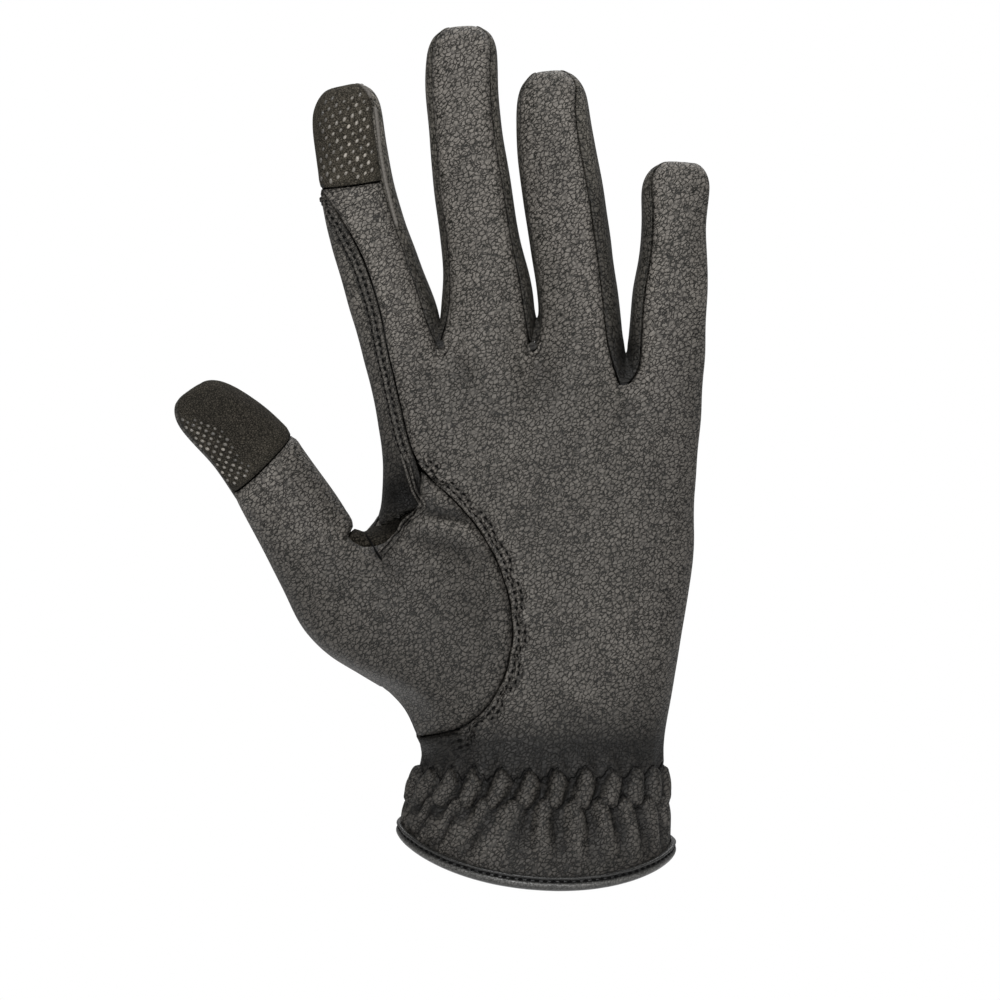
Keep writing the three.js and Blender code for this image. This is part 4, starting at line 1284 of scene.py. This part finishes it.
@dataclass
class StitchedBand:
    """A seam allowance turned under and stitched down twice: a raised band along a panel's edge.

    Attributes:
        host: the panel that it lies on.
        other: the panel that the seam joins it to.
        near: a place close to the seam.
        rows: how far the two rows of stitches lie from the seam.
        pitch: the distance between two stitches.
        step: the distance between two rings of points.
        stitch_size: the length and the radius of a stitch.
        trim: how much of the seam is left out at each end.
        reach: how far apart the two panels' edges may lie.
        height: how high the band is, as a factor.
        tone: the painted light and shade that it takes by height.
        ridges: the rise, the place and the width of its ridges, in mm, where the first is counted
            from the seam, the second from between the rows and the third from the second row.
        slope: the rise of the band at the seam, in mm, which falls off over its width.
        dip: how deep and how wide the stitches pull the leather in, and the share that never lets go.
        sink: how deep the band's inner edge and its underside lie.
        wear_and_shade: the painted shade of its furrows, the painted light that a ridge of what height adds
            to it, and the painted shade that a dip of the stitches takes.
        fade: where its tone turns into the panel's, and over what width.
        stitch_sink: how deep a stitch lies.
        stitch_slant: how far a stitch turns into the panel.
    """

    name: str
    host: Panel
    other: Panel
    near: Vector
    material: Material
    thread: Material
    rows: Place = (1.3 * MM, 3.1 * MM)
    width: float = 4.7 * MM
    pitch: float = 2.0 * MM
    step: float = 0.25 * MM
    stitch_size: Place = (1.25 * MM, 0.36 * MM)
    trim: Place = (0.0, 0.0)
    reach: float = 1.6 * MM
    height: float = 1.0
    tone: HeightShade | None = None
    ridges: tuple[tuple[float, float, float], ...] = ((0.5, 0.35, 0.7), (0.7, 0.0, 0.62), (0.34, 0.75, 0.55))
    slope: float = 0.08
    dip: tuple[float, float, float] = (0.22 * MM, 0.4 * MM, 0.45)
    sink: Place = (-0.12 * MM, -0.4 * MM)
    wear_and_shade: tuple[float, float, float, float] = (0.38, 0.85, 0.62 * MM, 0.45)
    fade: Place = (3.9 * MM, 0.8 * MM)
    stitch_sink: float = 0.12 * MM
    stitch_slant: float = 0.18

    def profile(self, offset: float) -> float:
        """The band's height above the leather at a distance from the seam."""
        starts = (0.0, sum(self.rows) / 2, self.rows[1])
        rise = self.slope * max(0.0, 1 - offset / self.width)
        for start, (top, beyond, width) in zip(starts, self.ridges):
            rise += top * bell(offset - start - beyond * MM, width * MM)
        return rise * MM * self.height

    def shade(self, offset: float, pulled: float) -> float:
        """The band's painted light and shade at a distance from the seam: painted light on its ridges,
        painted shade in its furrows.

        Args:
            offset: the distance from the seam.
            pulled: how deep the stitches pull the leather in here, from 0 to 1.

        Returns:
            The factor of the leather's colour.
        """
        least, gain, tall, loss = self.wear_and_shade
        ridge = self.profile(offset) / (tall * self.height)
        start, width = self.fade
        blend_out = clamp((offset - start) / width)
        wear_and_shade = (least + gain * min(1.0, ridge)) * (1 - loss * pulled)
        return wear_and_shade * (1 - blend_out) + blend_out

    def build(self) -> None:
        """Builds the band and its stitches."""
        line = evenly(self.host.edge_beside([self.other], self.near, self.reach), self.step)
        first = int(self.trim[0] / self.step)
        last = len(line) - int(self.trim[1] / self.step)
        strip = Strip(line[first:last], self.host.surface())
        log.info("%s: a seam of %.1f mm", self.name, len(line) * self.step / MM)
        offsets = [value * MM for value in BAND_OFFSETS] + [self.width]
        depth, width, held = self.dip
        points, shades = [], []
        for index in range(len(strip.line)):
            phase = index * self.step / self.pitch
            swing = held + (1 - held) * math.cos(2 * math.pi * phase)
            for offset in offsets:
                pulled = sum(bell(offset - row, width) * swing for row in self.rows)
                lift = self.sink[0] if offset == self.width else self.profile(offset) - depth * pulled
                points.append(strip.spot(index, offset, lift)[0])
                shades.append(self.shade(offset, pulled))
            points += [strip.spot(index, offset, self.sink[1])[0] for offset in (self.width, 0.0)]
            # The band's underside takes painted shade
            shades += [1.0, UNDERSIDE_SHADE]
        # Painted light and shade by height
        if self.tone:
            shades = (np.array(shades) * self.tone(np.array(points))).tolist()
        band = Collector()
        band.loft(points, len(offsets) + 2, shades)
        band.piece(self.name, self.material, self.host.slot)
        self.sew(strip)

    def sew(self, strip: Strip) -> None:
        """Lays the two rows of stitches in the band's furrows."""
        stitches = Collector()
        every = int(round(self.pitch / self.step))
        for row in self.rows:
            for index in range(every, len(strip.line) - every // 2, every):
                spot, out = strip.spot(index, row, self.profile(row) - self.stitch_sink)
                along = (strip.along[index] + self.stitch_slant * strip.inward[index]).normalized()
                stitches.stitch(spot, along, out, *self.stitch_size)
        stitches.piece(self.name + "_stitches", self.thread, self.host.slot)


@dataclass
class RoutedCord:
    """Fine parallel ridges along a route seen from the palm, laid on whatever leather faces it.

    Attributes:
        route: the places it runs through, in mm.
        offsets: how far each ridge lies beside the route.
        lift: how far its middle lies above the leather.
        bead: how far the radius swells and shrinks, as a share.
        bead_pitch: over what length it does.
        foot: the painted shade at a ridge's sides.
        tone: the factor of the leather's colour; above 1 it is painted light.
        step: the distance between two points.
        soften: how many times the route is smoothed.
        around: over how many points to each side the laid line is smoothed.
        tip: the least share of the radius at the ends, and over how many points they taper.
    """

    name: str
    route: tuple[Place, ...]
    material: Material
    offsets: tuple[float, ...] = (0.0,)
    radius: float = 0.42 * MM
    lift: float = 0.12 * MM
    bead: float = 0.0
    bead_pitch: float = 1.4 * MM
    foot: float = 0.3
    tone: float = 1.0
    step: float = 0.28 * MM
    soften: int = 5
    around: int = 3
    tip: tuple[float, int] = (0.3, 4)

    def lay(self, line: list[Vector], offset: float, surfaces: list[BVHTree]) -> tuple[list, list]:
        """Lays a line beside the route on the leather.

        Args:
            line: the route's points.
            offset: how far beside it the line runs.
            surfaces: the outer sides of the panels.

        Returns:
            The places on the leather and the normals there.
        """
        spots, ups = [], []
        for index, spot in enumerate(line):
            onward = ahead(line, index)
            side = Vector((onward.z, 0, -onward.x)).normalized()
            start = spot + side * offset + BEFORE_PALM
            found = [surface.ray_cast(start, INTO_PALM) for surface in surfaces]
            found = [hit for hit in found if hit[0] is not None]
            if found:
                hit, out = min(found, key=lambda each: each[3])[:2]
                spots.append(hit)
                ups.append(out)
        return spots, ups

    def build(self, surfaces: list[BVHTree]) -> None:
        """Builds the ridges.

        Args:
            surfaces: the outer sides of the panels.
        """
        flat = np.array([(across * MM, 0.0, height * MM) for across, height in self.route])
        line = evenly(np.array([tuple(spot) for spot in evenly(flat, self.step, 0)]), self.step, self.soften)
        least, taper = self.tip
        cords = Collector()
        for offset in self.offsets:
            spots, ups = self.lay(line, offset, surfaces)
            last = len(spots) - 1
            spread = range(-self.around, self.around + 1)
            centres, radii = [], []
            for index, out in enumerate(ups):
                near = [spots[max(0, min(last, index + shift))] for shift in spread]
                centres.append(sum(near, Vector()) / len(near) + out * self.lift)
                wave = self.bead * math.cos(2 * math.pi * index * self.step / self.bead_pitch)
                radii.append(self.radius * (1 + wave) * clamp(min(index, last - index) / taper, least))
            cords.tube(centres, radii, ups, sides=8, foot=self.foot)
        # The cords' painted shade at their sides, times their tone
        cords.shades = [self.tone * shade for shade in cords.shades]
        cords.piece(self.name, self.material, Slot.PALM)


@dataclass
class RaisedDots:
    """A lattice of small raised dots on a touch patch.

    Attributes:
        origin: a place of the lattice seen from the palm, in mm.
        first: the step from a dot to its neighbour, in mm.
        second: the step to its other neighbour.
        centre: where the middle of the finger lies across the palm, in mm.
        bend: the radius round which the lattice is bent, in mm.
        size: half a dot's width, length and height, in mm.
        slant: the direction of its length, in degrees.
        margin: how far from the patch's seam the dots stay.
        reach: how many dots the lattice has to each side.
        tone: the factor of the dots' colour.
        least: the factor below which a dot is left out.
        fades: where the dots dim with painted shade, as the light leaves them, till they are left out: a
            place, a direction, and over how many mm.
        last_turn: how far round the finger the lattice goes, in radians.
        facing: how far a dot's leather may face up, and how far it has to face the palm side.
        uneven: how much the dots' size and slant vary, and the size of that noise.
        wear: how much their wear varies, the size of that noise and the least that is left.
    """

    name: str
    host: Panel
    material: Material
    origin: Place
    first: Place
    second: Place
    centre: float
    bend: float
    size: tuple[float, float, float] = (0.4, 0.64, 0.42)
    slant: float = 58.0
    margin: float = 1.3 * MM
    reach: int = 16
    tone: float = 1.0
    least: float = 0.22
    fades: tuple[tuple[float, float, float, float, float], ...] = ()
    last_turn: float = 1.2
    facing: Place = (0.5, -0.25)
    uneven: tuple[float, float, float] = (0.35, 25.0, 0.7 * MM)
    wear: tuple[float, float, float] = (1.1, 0.9 * MM, 0.25)

    def places(self) -> Iterator[tuple[Vector, Vector]]:
        """Goes through the lattice.

        Yields:
            Each place on the patch and the leather's normal there.
        """
        surface = self.host.surface()
        rim = tree_of(self.host.rim_points())
        steps = range(-self.reach, self.reach + 1)
        for i, j in product(steps, steps):
            across = self.origin[0] + i * self.first[0] + j * self.second[0]
            height = self.origin[1] + i * self.first[1] + j * self.second[1]
            turn = (across - self.centre) / self.bend
            if abs(turn) > self.last_turn:
                continue
            bent = self.centre + self.bend * math.sin(turn)
            hit, out = surface.ray_cast((bent * MM, BEFORE_PALM.y, height * MM), INTO_PALM)[:2]
            if hit is None or out.z > self.facing[0] or out.y > self.facing[1]:
                continue
            if rim.find(hit)[2] >= self.margin:
                yield hit, out

    def wear_and_shade(self, hit: Vector) -> float:
        """A dot's tone at a place: its uneven wear, times the painted shade of the fades, times its tone."""
        amount, size, least = self.wear
        left = max(least, 1 + amount * noise.noise(hit / size + WEAR_SEED))
        for x, z, away_x, away_z, over in self.fades:
            left *= 1 - clamp(((hit.x / MM - x) * away_x + (hit.z / MM - z) * away_z) / over)
        return left * self.tone

    def build(self) -> None:
        """Lays the dots on the patch."""
        bpy.ops.object.select_all(action="DESELECT")
        bpy.ops.mesh.primitive_ico_sphere_add(subdivisions=2, radius=1)
        model = bpy.context.active_object
        ball = [vertex.co.copy() for vertex in model.data.vertices]
        faces = [tuple(face.vertices) for face in model.data.polygons]
        bpy.data.objects.remove(model)
        swell, twist, grain = self.uneven
        width, length, height = (value * MM for value in self.size)
        dots = Collector()
        for hit, out in self.places():
            left = self.wear_and_shade(hit)
            if left < self.least:
                continue
            chance = noise.noise(hit / grain)
            angle = math.radians(self.slant + twist * chance)
            along = Vector((math.cos(angle), 0, math.sin(angle)))
            along = (along - out * along.dot(out)).normalized()
            grow = 1 + swell * chance
            wide, long, high = out.cross(along) * width * grow, along * length * grow, out * height
            points = [hit + wide * corner.x + long * corner.y + high * corner.z for corner in ball]
            dots.add(points, faces, [left] * len(ball))
        dots.piece(self.name, self.material, self.host.slot)


# The studio


@dataclass
class Studio:
    """A pale floor, soft light and the camera.

    Attributes:
        camera_distance: how far the camera stands before the glove.
        frame_width: the width of what it sees there.
        sensor: the width of its sensor, in mm.
        floor_tone: how bright and how rough it is.
        surroundings: how strongly the white surroundings light the glove.
        lamps: each lamp's name, its place, its side and its power in watts.
    """

    camera_distance: float = 1.15
    frame_width: float = 0.26
    look_at: tuple[float, float, float] = (-0.00936, 0.0, 0.0884)
    sensor: float = 36.0
    floor_height: float = -0.12
    floor_radius: float = 0.6
    floor_tone: Place = (0.92, 0.9)
    surroundings: float = 0.28
    lamps: tuple[tuple[str, tuple[float, float, float], float, float], ...] = (
        ("key", (-0.35, -1.5, 0.8), 0.6, 20.0),
        ("fill", (0.7, -1.5, 0.1), 0.8, 8.0),
        ("overhead", (0.2, 0.9, 1.8), 1.6, 26.0),
    )

    def build(self) -> None:
        """Makes the floor, the lights, the surroundings and the camera."""
        self.lay_floor()
        self.light_surroundings()
        for name, spot, size, power in self.lamps:
            self.hang(name, spot, size, power)
        self.place_camera()

    def lay_floor(self) -> None:
        """Lays a round pale floor under the glove."""
        bpy.ops.object.select_all(action="DESELECT")
        bpy.ops.mesh.primitive_circle_add(
            vertices=96, radius=self.floor_radius, fill_type="NGON", location=(0, 0, self.floor_height)
        )
        floor = bpy.context.active_object
        floor.name = "floor"
        nodes = Nodes("pale_floor")
        bright, rough = self.floor_tone
        nodes.feed(nodes.shader, {"Base Color": (bright, bright, bright, 1), "Roughness": rough})
        floor.data.materials.append(nodes.material)

    def light_surroundings(self) -> None:
        """Sets the white surroundings, which light the glove less than they show."""
        scene = bpy.context.scene
        scene.view_settings.view_transform = "Standard"
        world = bpy.data.worlds.new("studio")
        scene.world = world
        world.use_nodes = True
        tree = world.node_tree
        background = tree.nodes["Background"]
        background.inputs["Color"].default_value = (1, 1, 1, 1)
        path = tree.nodes.new("ShaderNodeLightPath")
        level = tree.nodes.new("ShaderNodeMapRange")
        tree.links.new(path.outputs["Is Camera Ray"], level.inputs["Value"])
        level.inputs["To Min"].default_value = self.surroundings
        level.inputs["To Max"].default_value = 1.0
        tree.links.new(level.outputs["Result"], background.inputs["Strength"])

    def hang(self, name: str, spot: tuple[float, float, float], size: float, power: float) -> None:
        """Hangs one square soft light that faces the glove.

        Args:
            name: the light's name.
            spot: where it hangs.
            size: its side, in metres.
            power: its power, in watts.
        """
        data = bpy.data.lights.new(name, "AREA")
        data.size = size
        data.energy = power
        light = bpy.data.objects.new(name, data)
        bpy.context.scene.collection.objects.link(light)
        light.location = spot
        aim = Vector(self.look_at) - Vector(spot)
        light.rotation_euler = aim.to_track_quat("-Z", "Y").to_euler()

    def place_camera(self) -> None:
        """Places the camera level with the middle of the glove, square to the palm."""
        data = bpy.data.cameras.new("camera")
        data.sensor_width = self.sensor
        data.lens = self.sensor * self.camera_distance / self.frame_width
        camera = bpy.data.objects.new("camera", data)
        bpy.context.scene.collection.objects.link(camera)
        camera.location = Vector(self.look_at) - Vector((0, self.camera_distance, 0))
        camera.rotation_euler = (math.radians(90), 0, 0)
        bpy.context.scene.camera = camera


# Wear of each panel, and its painted light and shade

WEAR = {
    "palm_panel": Wear(
        creases=(
            Crease((-18, 62), (-4, 48), 0.35, 4.0),
            Crease((2, 40), (14, 30), 0.5, 3.0),
            Crease((-22, 128), (-17, 118), 0.5, 2.2),
            Crease((0, 128), (2, 118), 0.5, 2.2),
            Crease((24, 116), (22, 106), 0.5, 2.2),
        )
    ),
    "back_panel": Wear(creases=(Crease((-36, 92), (-30, 86), 1.6, 5.0),)),
    "fourchette_index_middle": Wear(),
    "fourchette_middle_ring": Wear(),
    "fourchette_ring_little": Wear(),
    "thumb_front": Wear(
        creases=(
            Crease((-29, 86.5), (-14, 83), 1.0, 1.7),
            Crease((-27, 83.6), (-14, 80), -0.5, 1.6),
            Crease((-31, 79), (-12, 74.5), 0.55, 2.4),
            Crease((-41, 76), (-34, 68), 0.7, 2.0),
        )
    ),
    "thumb_back": Wear(),
    "thumb_gusset": Wear(creases=(Crease((-40, 84), (-32, 80), 0.8, 3.0),)),
    "index_touch_patch": Wear(drawn=0.2, puff=0.1, uneven=0.15),
    "thumb_touch_patch": Wear(drawn=0.2, puff=0.3, uneven=0.15),
}
SHIRRED = ("palm_panel", "back_panel")
# How deep a pleat's furrow is whose painted shade darkens the leather by about two thirds; the pleats' tops
# get painted light
SHIRRING_TONE = 0.62 * MM

# Tone by height: darker over the cuff, a painted shadow where the wrist narrows above the shirring, and
# painted light up the fingers
PAINTED_LIGHT_BY_HEIGHT = HeightShade(
    (
        (-10, 0.36), (2, 0.42), (10, 0.37), (17, 0.33), (20.5, 0.14), (26, 0.12), (31, 0.5),
        (37, 0.85), (60, 0.95), (120, 1.0), (136, 1.25), (200, 1.4),
    )
)
# Painted light and shade on the thumb: darker at its root, lighter further up
PAINTED_THUMB_LIGHT = HeightShade(((25, 0.45), (34, 0.6), (70, 0.75), (86, 1.1)))
# Painted light on the fourchettes near the fingertips, which lifts their shaded leather to the palm's tone
PAINTED_FINGERTIP_LIGHT = HeightShade(((162, 1.0), (184, 1.9)))

# Painted shadows of each panel, painted pools of light where a strength is negative, and its painted light
# and shade by height
SHADOWS = {
    "back_panel": (
        PAINTED_LIGHT_BY_HEIGHT,
        Shadow((-38, 90), (-31, 88), 6.5, 0.85),
        Shadow((-41, 108), (-36, 92), 5.0, 0.35),
        Shadow((-33, 96), (-30, 90), 3.0, 0.5),
        Shadow((-43.0, 92.5), (-37.5, 95.5), 1.8, -0.9),
        Shadow((-46, 150), (-39, 106), 6.0, -0.55),
    ),
    "thumb_gusset": (Shadow((-42, 80), (-36, 82), 9.0, 0.5), Shadow((-36, 86), (-29, 88), 5.0, 0.85)),
    "thumb_front": (
        PAINTED_THUMB_LIGHT,
        Shadow((-29, 86.5), (-19, 84), 1.8, 0.55),
        Shadow((-31, 79), (-14, 75), 2.2, 0.22),
        Shadow((-31, 98), (-28, 88), 2.5, 0.4),
        Shadow((-46.5, 83.2), (-40.6, 74.4), 0.9, 0.75),
        Shadow((-44, 82), (-38, 78), 3.2, 0.4),
    ),
    "thumb_back": (PAINTED_THUMB_LIGHT,),
    "palm_panel": (PAINTED_LIGHT_BY_HEIGHT,),
    "fourchette_index_middle": (
        PAINTED_FINGERTIP_LIGHT,
        Shadow((-25, 132), (-24, 128), 6.0, 0.35),
        Shadow((-42, 195), (-38, 160), 8.0, -0.7),
    ),
    "fourchette_middle_ring": (PAINTED_FINGERTIP_LIGHT, Shadow((-1, 132), (-1, 128), 6.0, 0.35)),
    "fourchette_ring_little": (PAINTED_FINGERTIP_LIGHT, Shadow((23, 126), (23, 117), 7.0, 0.85)),
    "thumb_touch_patch": (Shadow((-92, 116), (-74, 96), 30.0, 0.45),),
}

# Routes seen from the palm, in mm

INDEX_PATCH_ROUTE = (
    (-46.5, 196.3), (-43.6, 194.0), (-41.4, 188.5), (-40.3, 178.1), (-39.0, 170.6), (-37.4, 164.0),
    (-35.9, 158.5),
)
THUMB_CROTCH_ROUTE = (
    (-34.3, 100.9), (-32.8, 96.0), (-31.4, 91.0), (-28.8, 86.8), (-31.2, 84.6), (-34.0, 82.4),
    (-35.0, 80.0), (-37.3, 77.2), (-40.3, 74.2),
)
THUMB_GROOVE_ROUTE = ((-46.5, 83.2), (-43.5, 78.8), (-40.6, 74.4), (-39.3, 72.5))
CURL_ROUTE = ((2.2, 129.2), (1.0, 126.2), (-0.6, 125.6), (-1.8, 127.0), (-1.5, 129.0))
CURLS = (("index_crotch_curl", -24.6), ("middle_crotch_curl", -0.7))


# The glove


@dataclass(frozen=True)
class Lining:
    """The turned-in leather under the seams, darkened by painted shade as it lies deep in them; its places
    are seen from the palm, in mm.

    Attributes:
        nodes: the panels along whose outer edges it runs.
        depth: how deep it lies.
        step: the least distance between two of its points.
        radius: its radius.
        shade: the painted shade of the seams' depth, as a factor of the leather's colour.
        around: over how many points to each side its direction is averaged.
        least: the most points of a stretch that is too short to be built.
        plugs: places with a radius where it fills the wall through.
        plug_depths: the depths of a plug's points.
        bare: places with a radius where it is left out.
    """

    nodes: tuple[str, ...] = ("palm_panel", "back_panel", "thumb_front", "thumb_back", "index_touch_patch")
    depth: float = 0.6 * MM
    step: float = 0.9 * MM
    radius: float = 0.42 * MM
    shade: float = 0.3
    around: int = 8
    least: int = 3
    plugs: tuple[tuple[float, float, float], ...] = (
        (-24.7, 128.6, 1.1), (-0.9, 128.2, 1.1), (-55.1, 169.5, 0.5), (-54.3, 169.6, 0.5),
        (-35.6, 84.1, 0.4),
    )
    plug_depths: tuple[float, ...] = (-7.0, -3.5, 0.0, 3.5, 7.0)
    bare: tuple[tuple[float, float, float], ...] = (
        (-49.5, 193.0, 8.0), (-18.5, 207.0, 9.0), (4.5, 196.5, 9.0), (37.0, 172.0, 9.0),
        (-86.0, 113.0, 9.5), (-48.0, 80.0, 4.5),
    )

    def is_bare(self, spot: Vector) -> bool:
        """Whether the lining is left out at a place."""
        return any(
            math.hypot(spot.x - across * MM, spot.z - height * MM) < reach * MM
            for across, height, reach in self.bare
        )

    def stretches(self, panel: Panel) -> list[list[tuple[Vector, Vector]]]:
        """Follows a panel's outer edge.

        Args:
            panel: the panel.

        Returns:
            The places and the normals of each stretch that is lined.
        """
        points = coordinates(panel.piece.data)
        out = panel.outer_normals()
        found: list[list[tuple[Vector, Vector]]] = []
        for loop in panel.rim_loops():
            found.append([])
            for count, corner in enumerate(loop):
                near = [loop[(count + step) % len(loop)] for step in range(-self.around, self.around + 1)]
                up = sum((out[each] for each in near), Vector()).normalized()
                spot = Vector(points[corner]) - up * self.depth
                if self.is_bare(spot):
                    if found[-1]:
                        found.append([])
                elif not found[-1] or (spot - found[-1][-1][0]).length > self.step:
                    found[-1].append((spot, up))
        return [stretch for stretch in found if len(stretch) > self.least]

    def build(self, panels: dict[str, Panel], leather: Material) -> None:
        """Builds the lining of every seam.

        Args:
            panels: the glove's panels.
            leather: the lining's material.
        """
        lining = Collector()
        for node in self.nodes:
            for stretch in self.stretches(panels[node]):
                line, ups = (list(each) for each in zip(*stretch))
                lining.tube(line, [self.radius] * len(line), ups)
        for across, height, radius in self.plugs:
            line = [Vector((across, depth, height)) * MM for depth in self.plug_depths]
            lining.tube(line, [radius * MM] * len(line), [Vector((0, 0, 1))] * len(line), sides=8)
        # Painted shade for the lining deep in the seams
        lining.shades = [self.shade] * len(lining.points)
        lining.piece("seam_lining", leather, Slot.FOURCHETTE)


@dataclass
class Glove:
    """The whole glove: its panels and what is sewn on them.

    Attributes:
        thread_radius: the radius of the zigzag threads.
        thread_sink: how deep they lie.
        hem_pitch: the distance between two of the hem's stitches.
        hem_stitch: their length and radius.
        hem_lift: how far they lie above the leather.
    """

    panels: dict[str, Panel] = field(default_factory=dict)
    shirring: Shirring = Shirring()
    hem: HemShape = HemShape()
    thread_radius: float = 0.22 * MM
    thread_sink: float = 0.12 * MM
    hem_pitch: float = 2.1 * MM
    hem_stitch: Place = (1.3 * MM, 0.36 * MM)
    hem_lift: float = 0.05 * MM

    def build(self) -> None:
        """Builds the glove's pieces in order."""
        palm = PALM_LEATHER.material()
        back = BACK_LEATHER.material()
        # The fourchettes' leather, darkened with painted shade, also serves the lining
        fourchette = SHADED_FOURCHETTE_LEATHER.material()
        knit = TOUCH_KNIT.material()
        binding = BINDING_LEATHER.material()
        plans = [
            Panel("palm_panel", Slot.PALM, palm, levels=2, finer_outside=True),
            Panel("back_panel", Slot.BACK, back, levels=2, finer_outside=True),
            Panel("fourchette_index_middle", Slot.FOURCHETTE, fourchette),
            Panel("fourchette_middle_ring", Slot.FOURCHETTE, fourchette),
            Panel("fourchette_ring_little", Slot.FOURCHETTE, fourchette),
            Panel("thumb_front", Slot.PALM, palm),
            Panel("thumb_back", Slot.BACK, back),
            Panel("thumb_gusset", Slot.FOURCHETTE, GUSSET_LEATHER.material()),
            Panel("index_touch_patch", Slot.TOUCH, knit),
            Panel("thumb_touch_patch", Slot.TOUCH, knit),
            Panel("hem_binding", Slot.BINDING, binding, levels=2, finer_outside=True),
        ]
        hollow = Hollow()
        for panel in plans:
            panel.build(hollow)
            self.panels[panel.node] = panel
            log.info("%s: %d faces", panel.node, len(panel.piece.data.polygons))
        self.wear()
        thread = THREAD.material()
        self.band_seams(palm, back, thread)
        self.lay_cords(palm, thread)
        self.dot_patches(BEAD_RUBBER.material())
        Lining().build(self.panels, fourchette)
        self.gather(thread)
        self.stitch_hem(thread)
        for panel in self.panels.values():
            panel.finish()

    def wear(self) -> None:
        """Works the wear, the pleats and the binding's profile into the panels, with the painted light and
        shade that follow their relief, and paints each panel's shadows.
        """
        for node, wear in WEAR.items():
            panel = self.panels[node]
            panel.work(wear)
            if node in SHIRRED:
                panel.work(self.shirring, SHIRRING_TONE)
            for shadow in SHADOWS.get(node, ()):
                panel.darken(shadow)
        self.panels["hem_binding"].work_below_top(self.hem)

    def band_seams(self, palm: Material, back: Material, thread: Material) -> None:
        """Lays the two stitched bands.

        Args:
            palm: the palm leather.
            back: the back leather.
            thread: the sewing thread.
        """
        StitchedBand(
            "thumb_seam_band", self.panels["palm_panel"], self.panels["thumb_front"],
            Vector((-8, -15, 62)) * MM, palm, thread, reach=3.0 * MM, trim=(0.0, 15 * MM), tone=PAINTED_LIGHT_BY_HEIGHT,
        ).build()
        StitchedBand(
            "index_side_seam_band", self.panels["back_panel"], self.panels["palm_panel"],
            Vector((-40, -5, 138)) * MM, back, thread, height=0.8, trim=(1.0 * MM, 1.6 * MM),
        ).build()

    def lay_cords(self, palm: Material, thread: Material) -> None:
        """Lays the fine ridges beside the index patch and at the crotches, and a black cord that paints the
        shade of the groove at the thumb crotch.

        Args:
            palm: the palm leather.
            thread: the sewing thread, which is dark enough to paint the groove's shade.
        """
        cords = [
            RoutedCord(
                "index_patch_ridge", INDEX_PATCH_ROUTE, PIPING_LEATHER.material(), radius=0.65 * MM,
                lift=0.05 * MM, bead=0.16, bead_pitch=1.0 * MM, foot=0.5,
            ),
            RoutedCord(
                "thumb_crotch_ridges", THUMB_CROTCH_ROUTE, palm, offsets=(-0.55 * MM, 0.55 * MM),
                radius=0.44 * MM, lift=0.25 * MM, foot=0.15,
            ),
        ]
        for name, middle in CURLS:
            route = tuple((middle + across, height) for across, height in CURL_ROUTE)
            # The curls' raised tone paints a highlight on them
            cords.append(RoutedCord(name, route, palm, radius=0.6 * MM, lift=0.4 * MM, tone=1.7))
        # A black cord along the thumb crotch's groove paints its shade
        cords.append(
            RoutedCord("thumb_crotch_groove_shade", THUMB_GROOVE_ROUTE, thread, radius=0.3 * MM, lift=0.0)
        )
        surfaces = [panel.surface() for node, panel in self.panels.items() if node != "hem_binding"]
        for cord in cords:
            cord.build(surfaces)

    def dot_patches(self, rubber: Material) -> None:
        """Lays the raised dots on the two touch patches."""
        RaisedDots(
            "index_patch_dots", self.panels["index_touch_patch"], rubber,
            origin=(-50.2, 178.9), first=(2.05, 0.93), second=(1.08, -1.83), centre=-48.6, bend=9.6,
            tone=1.25, fades=((0.0, 187.0, 0.0, 1.0, 9.0), (-49.0, 0.0, -1.0, 0.0, 8.0)),
        ).build()
        RaisedDots(
            "thumb_patch_dots", self.panels["thumb_touch_patch"], rubber,
            origin=(-83.7, 102.8), first=(1.82, -0.73), second=(1.27, -2.0), centre=-80.0, bend=14.0,
            size=(0.4, 0.54, 0.42), slant=-20.0, tone=0.8,
            fades=((-85.5, 107.5, 0.79, 0.61, 4.5), (0.0, 106.0, 0.0, 1.0, 5.0)),
        ).build()

    def gather(self, thread: Material) -> None:
        """Lays the two zigzag threads of the shirring in their furrows."""
        surfaces = [self.panels[node].surface() for node in SHIRRED]
        threads = Collector()
        for row in (self.shirring.upper_row, self.shirring.lower_row):
            spots, ups = [], []
            for point in self.shirring.thread(row):
                hits = [surface.find_nearest(point)[:2] for surface in surfaces]
                hit, out = min(hits, key=lambda found: (found[0] - Vector(point)).length)
                spots.append(hit - out * self.thread_sink)
                ups.append(out)
            threads.tube(spots + spots[:1], [self.thread_radius] * (len(spots) + 1), ups + ups[:1])
        threads.piece("shirring_threads", thread, Slot.PALM)

    def stitch_hem(self, thread: Material) -> None:
        """Sews the binding down along its groove."""
        hem = self.panels["hem_binding"]
        surface = hem.surface()
        down = Vector((0, 0, self.hem.groove[0] * MM))
        stitches = Collector()
        line = evenly(hem.top_edge(), self.hem_pitch, soften=0)
        for count, spot in enumerate(line):
            onward = (line[(count + 1) % len(line)] - line[count - 1]).normalized()
            hit, out = surface.find_nearest(spot - down)[:2]
            stitches.stitch(hit + out * self.hem_lift, onward, out, *self.hem_stitch)
        stitches.piece("hem_stitches", thread, Slot.BINDING)


def main() -> None:
    """Builds the glove and the studio."""
    logging.basicConfig(level=logging.INFO, format="%(message)s")
    Glove().build()
    Studio().build()


if __name__ == "__main__":
    main()
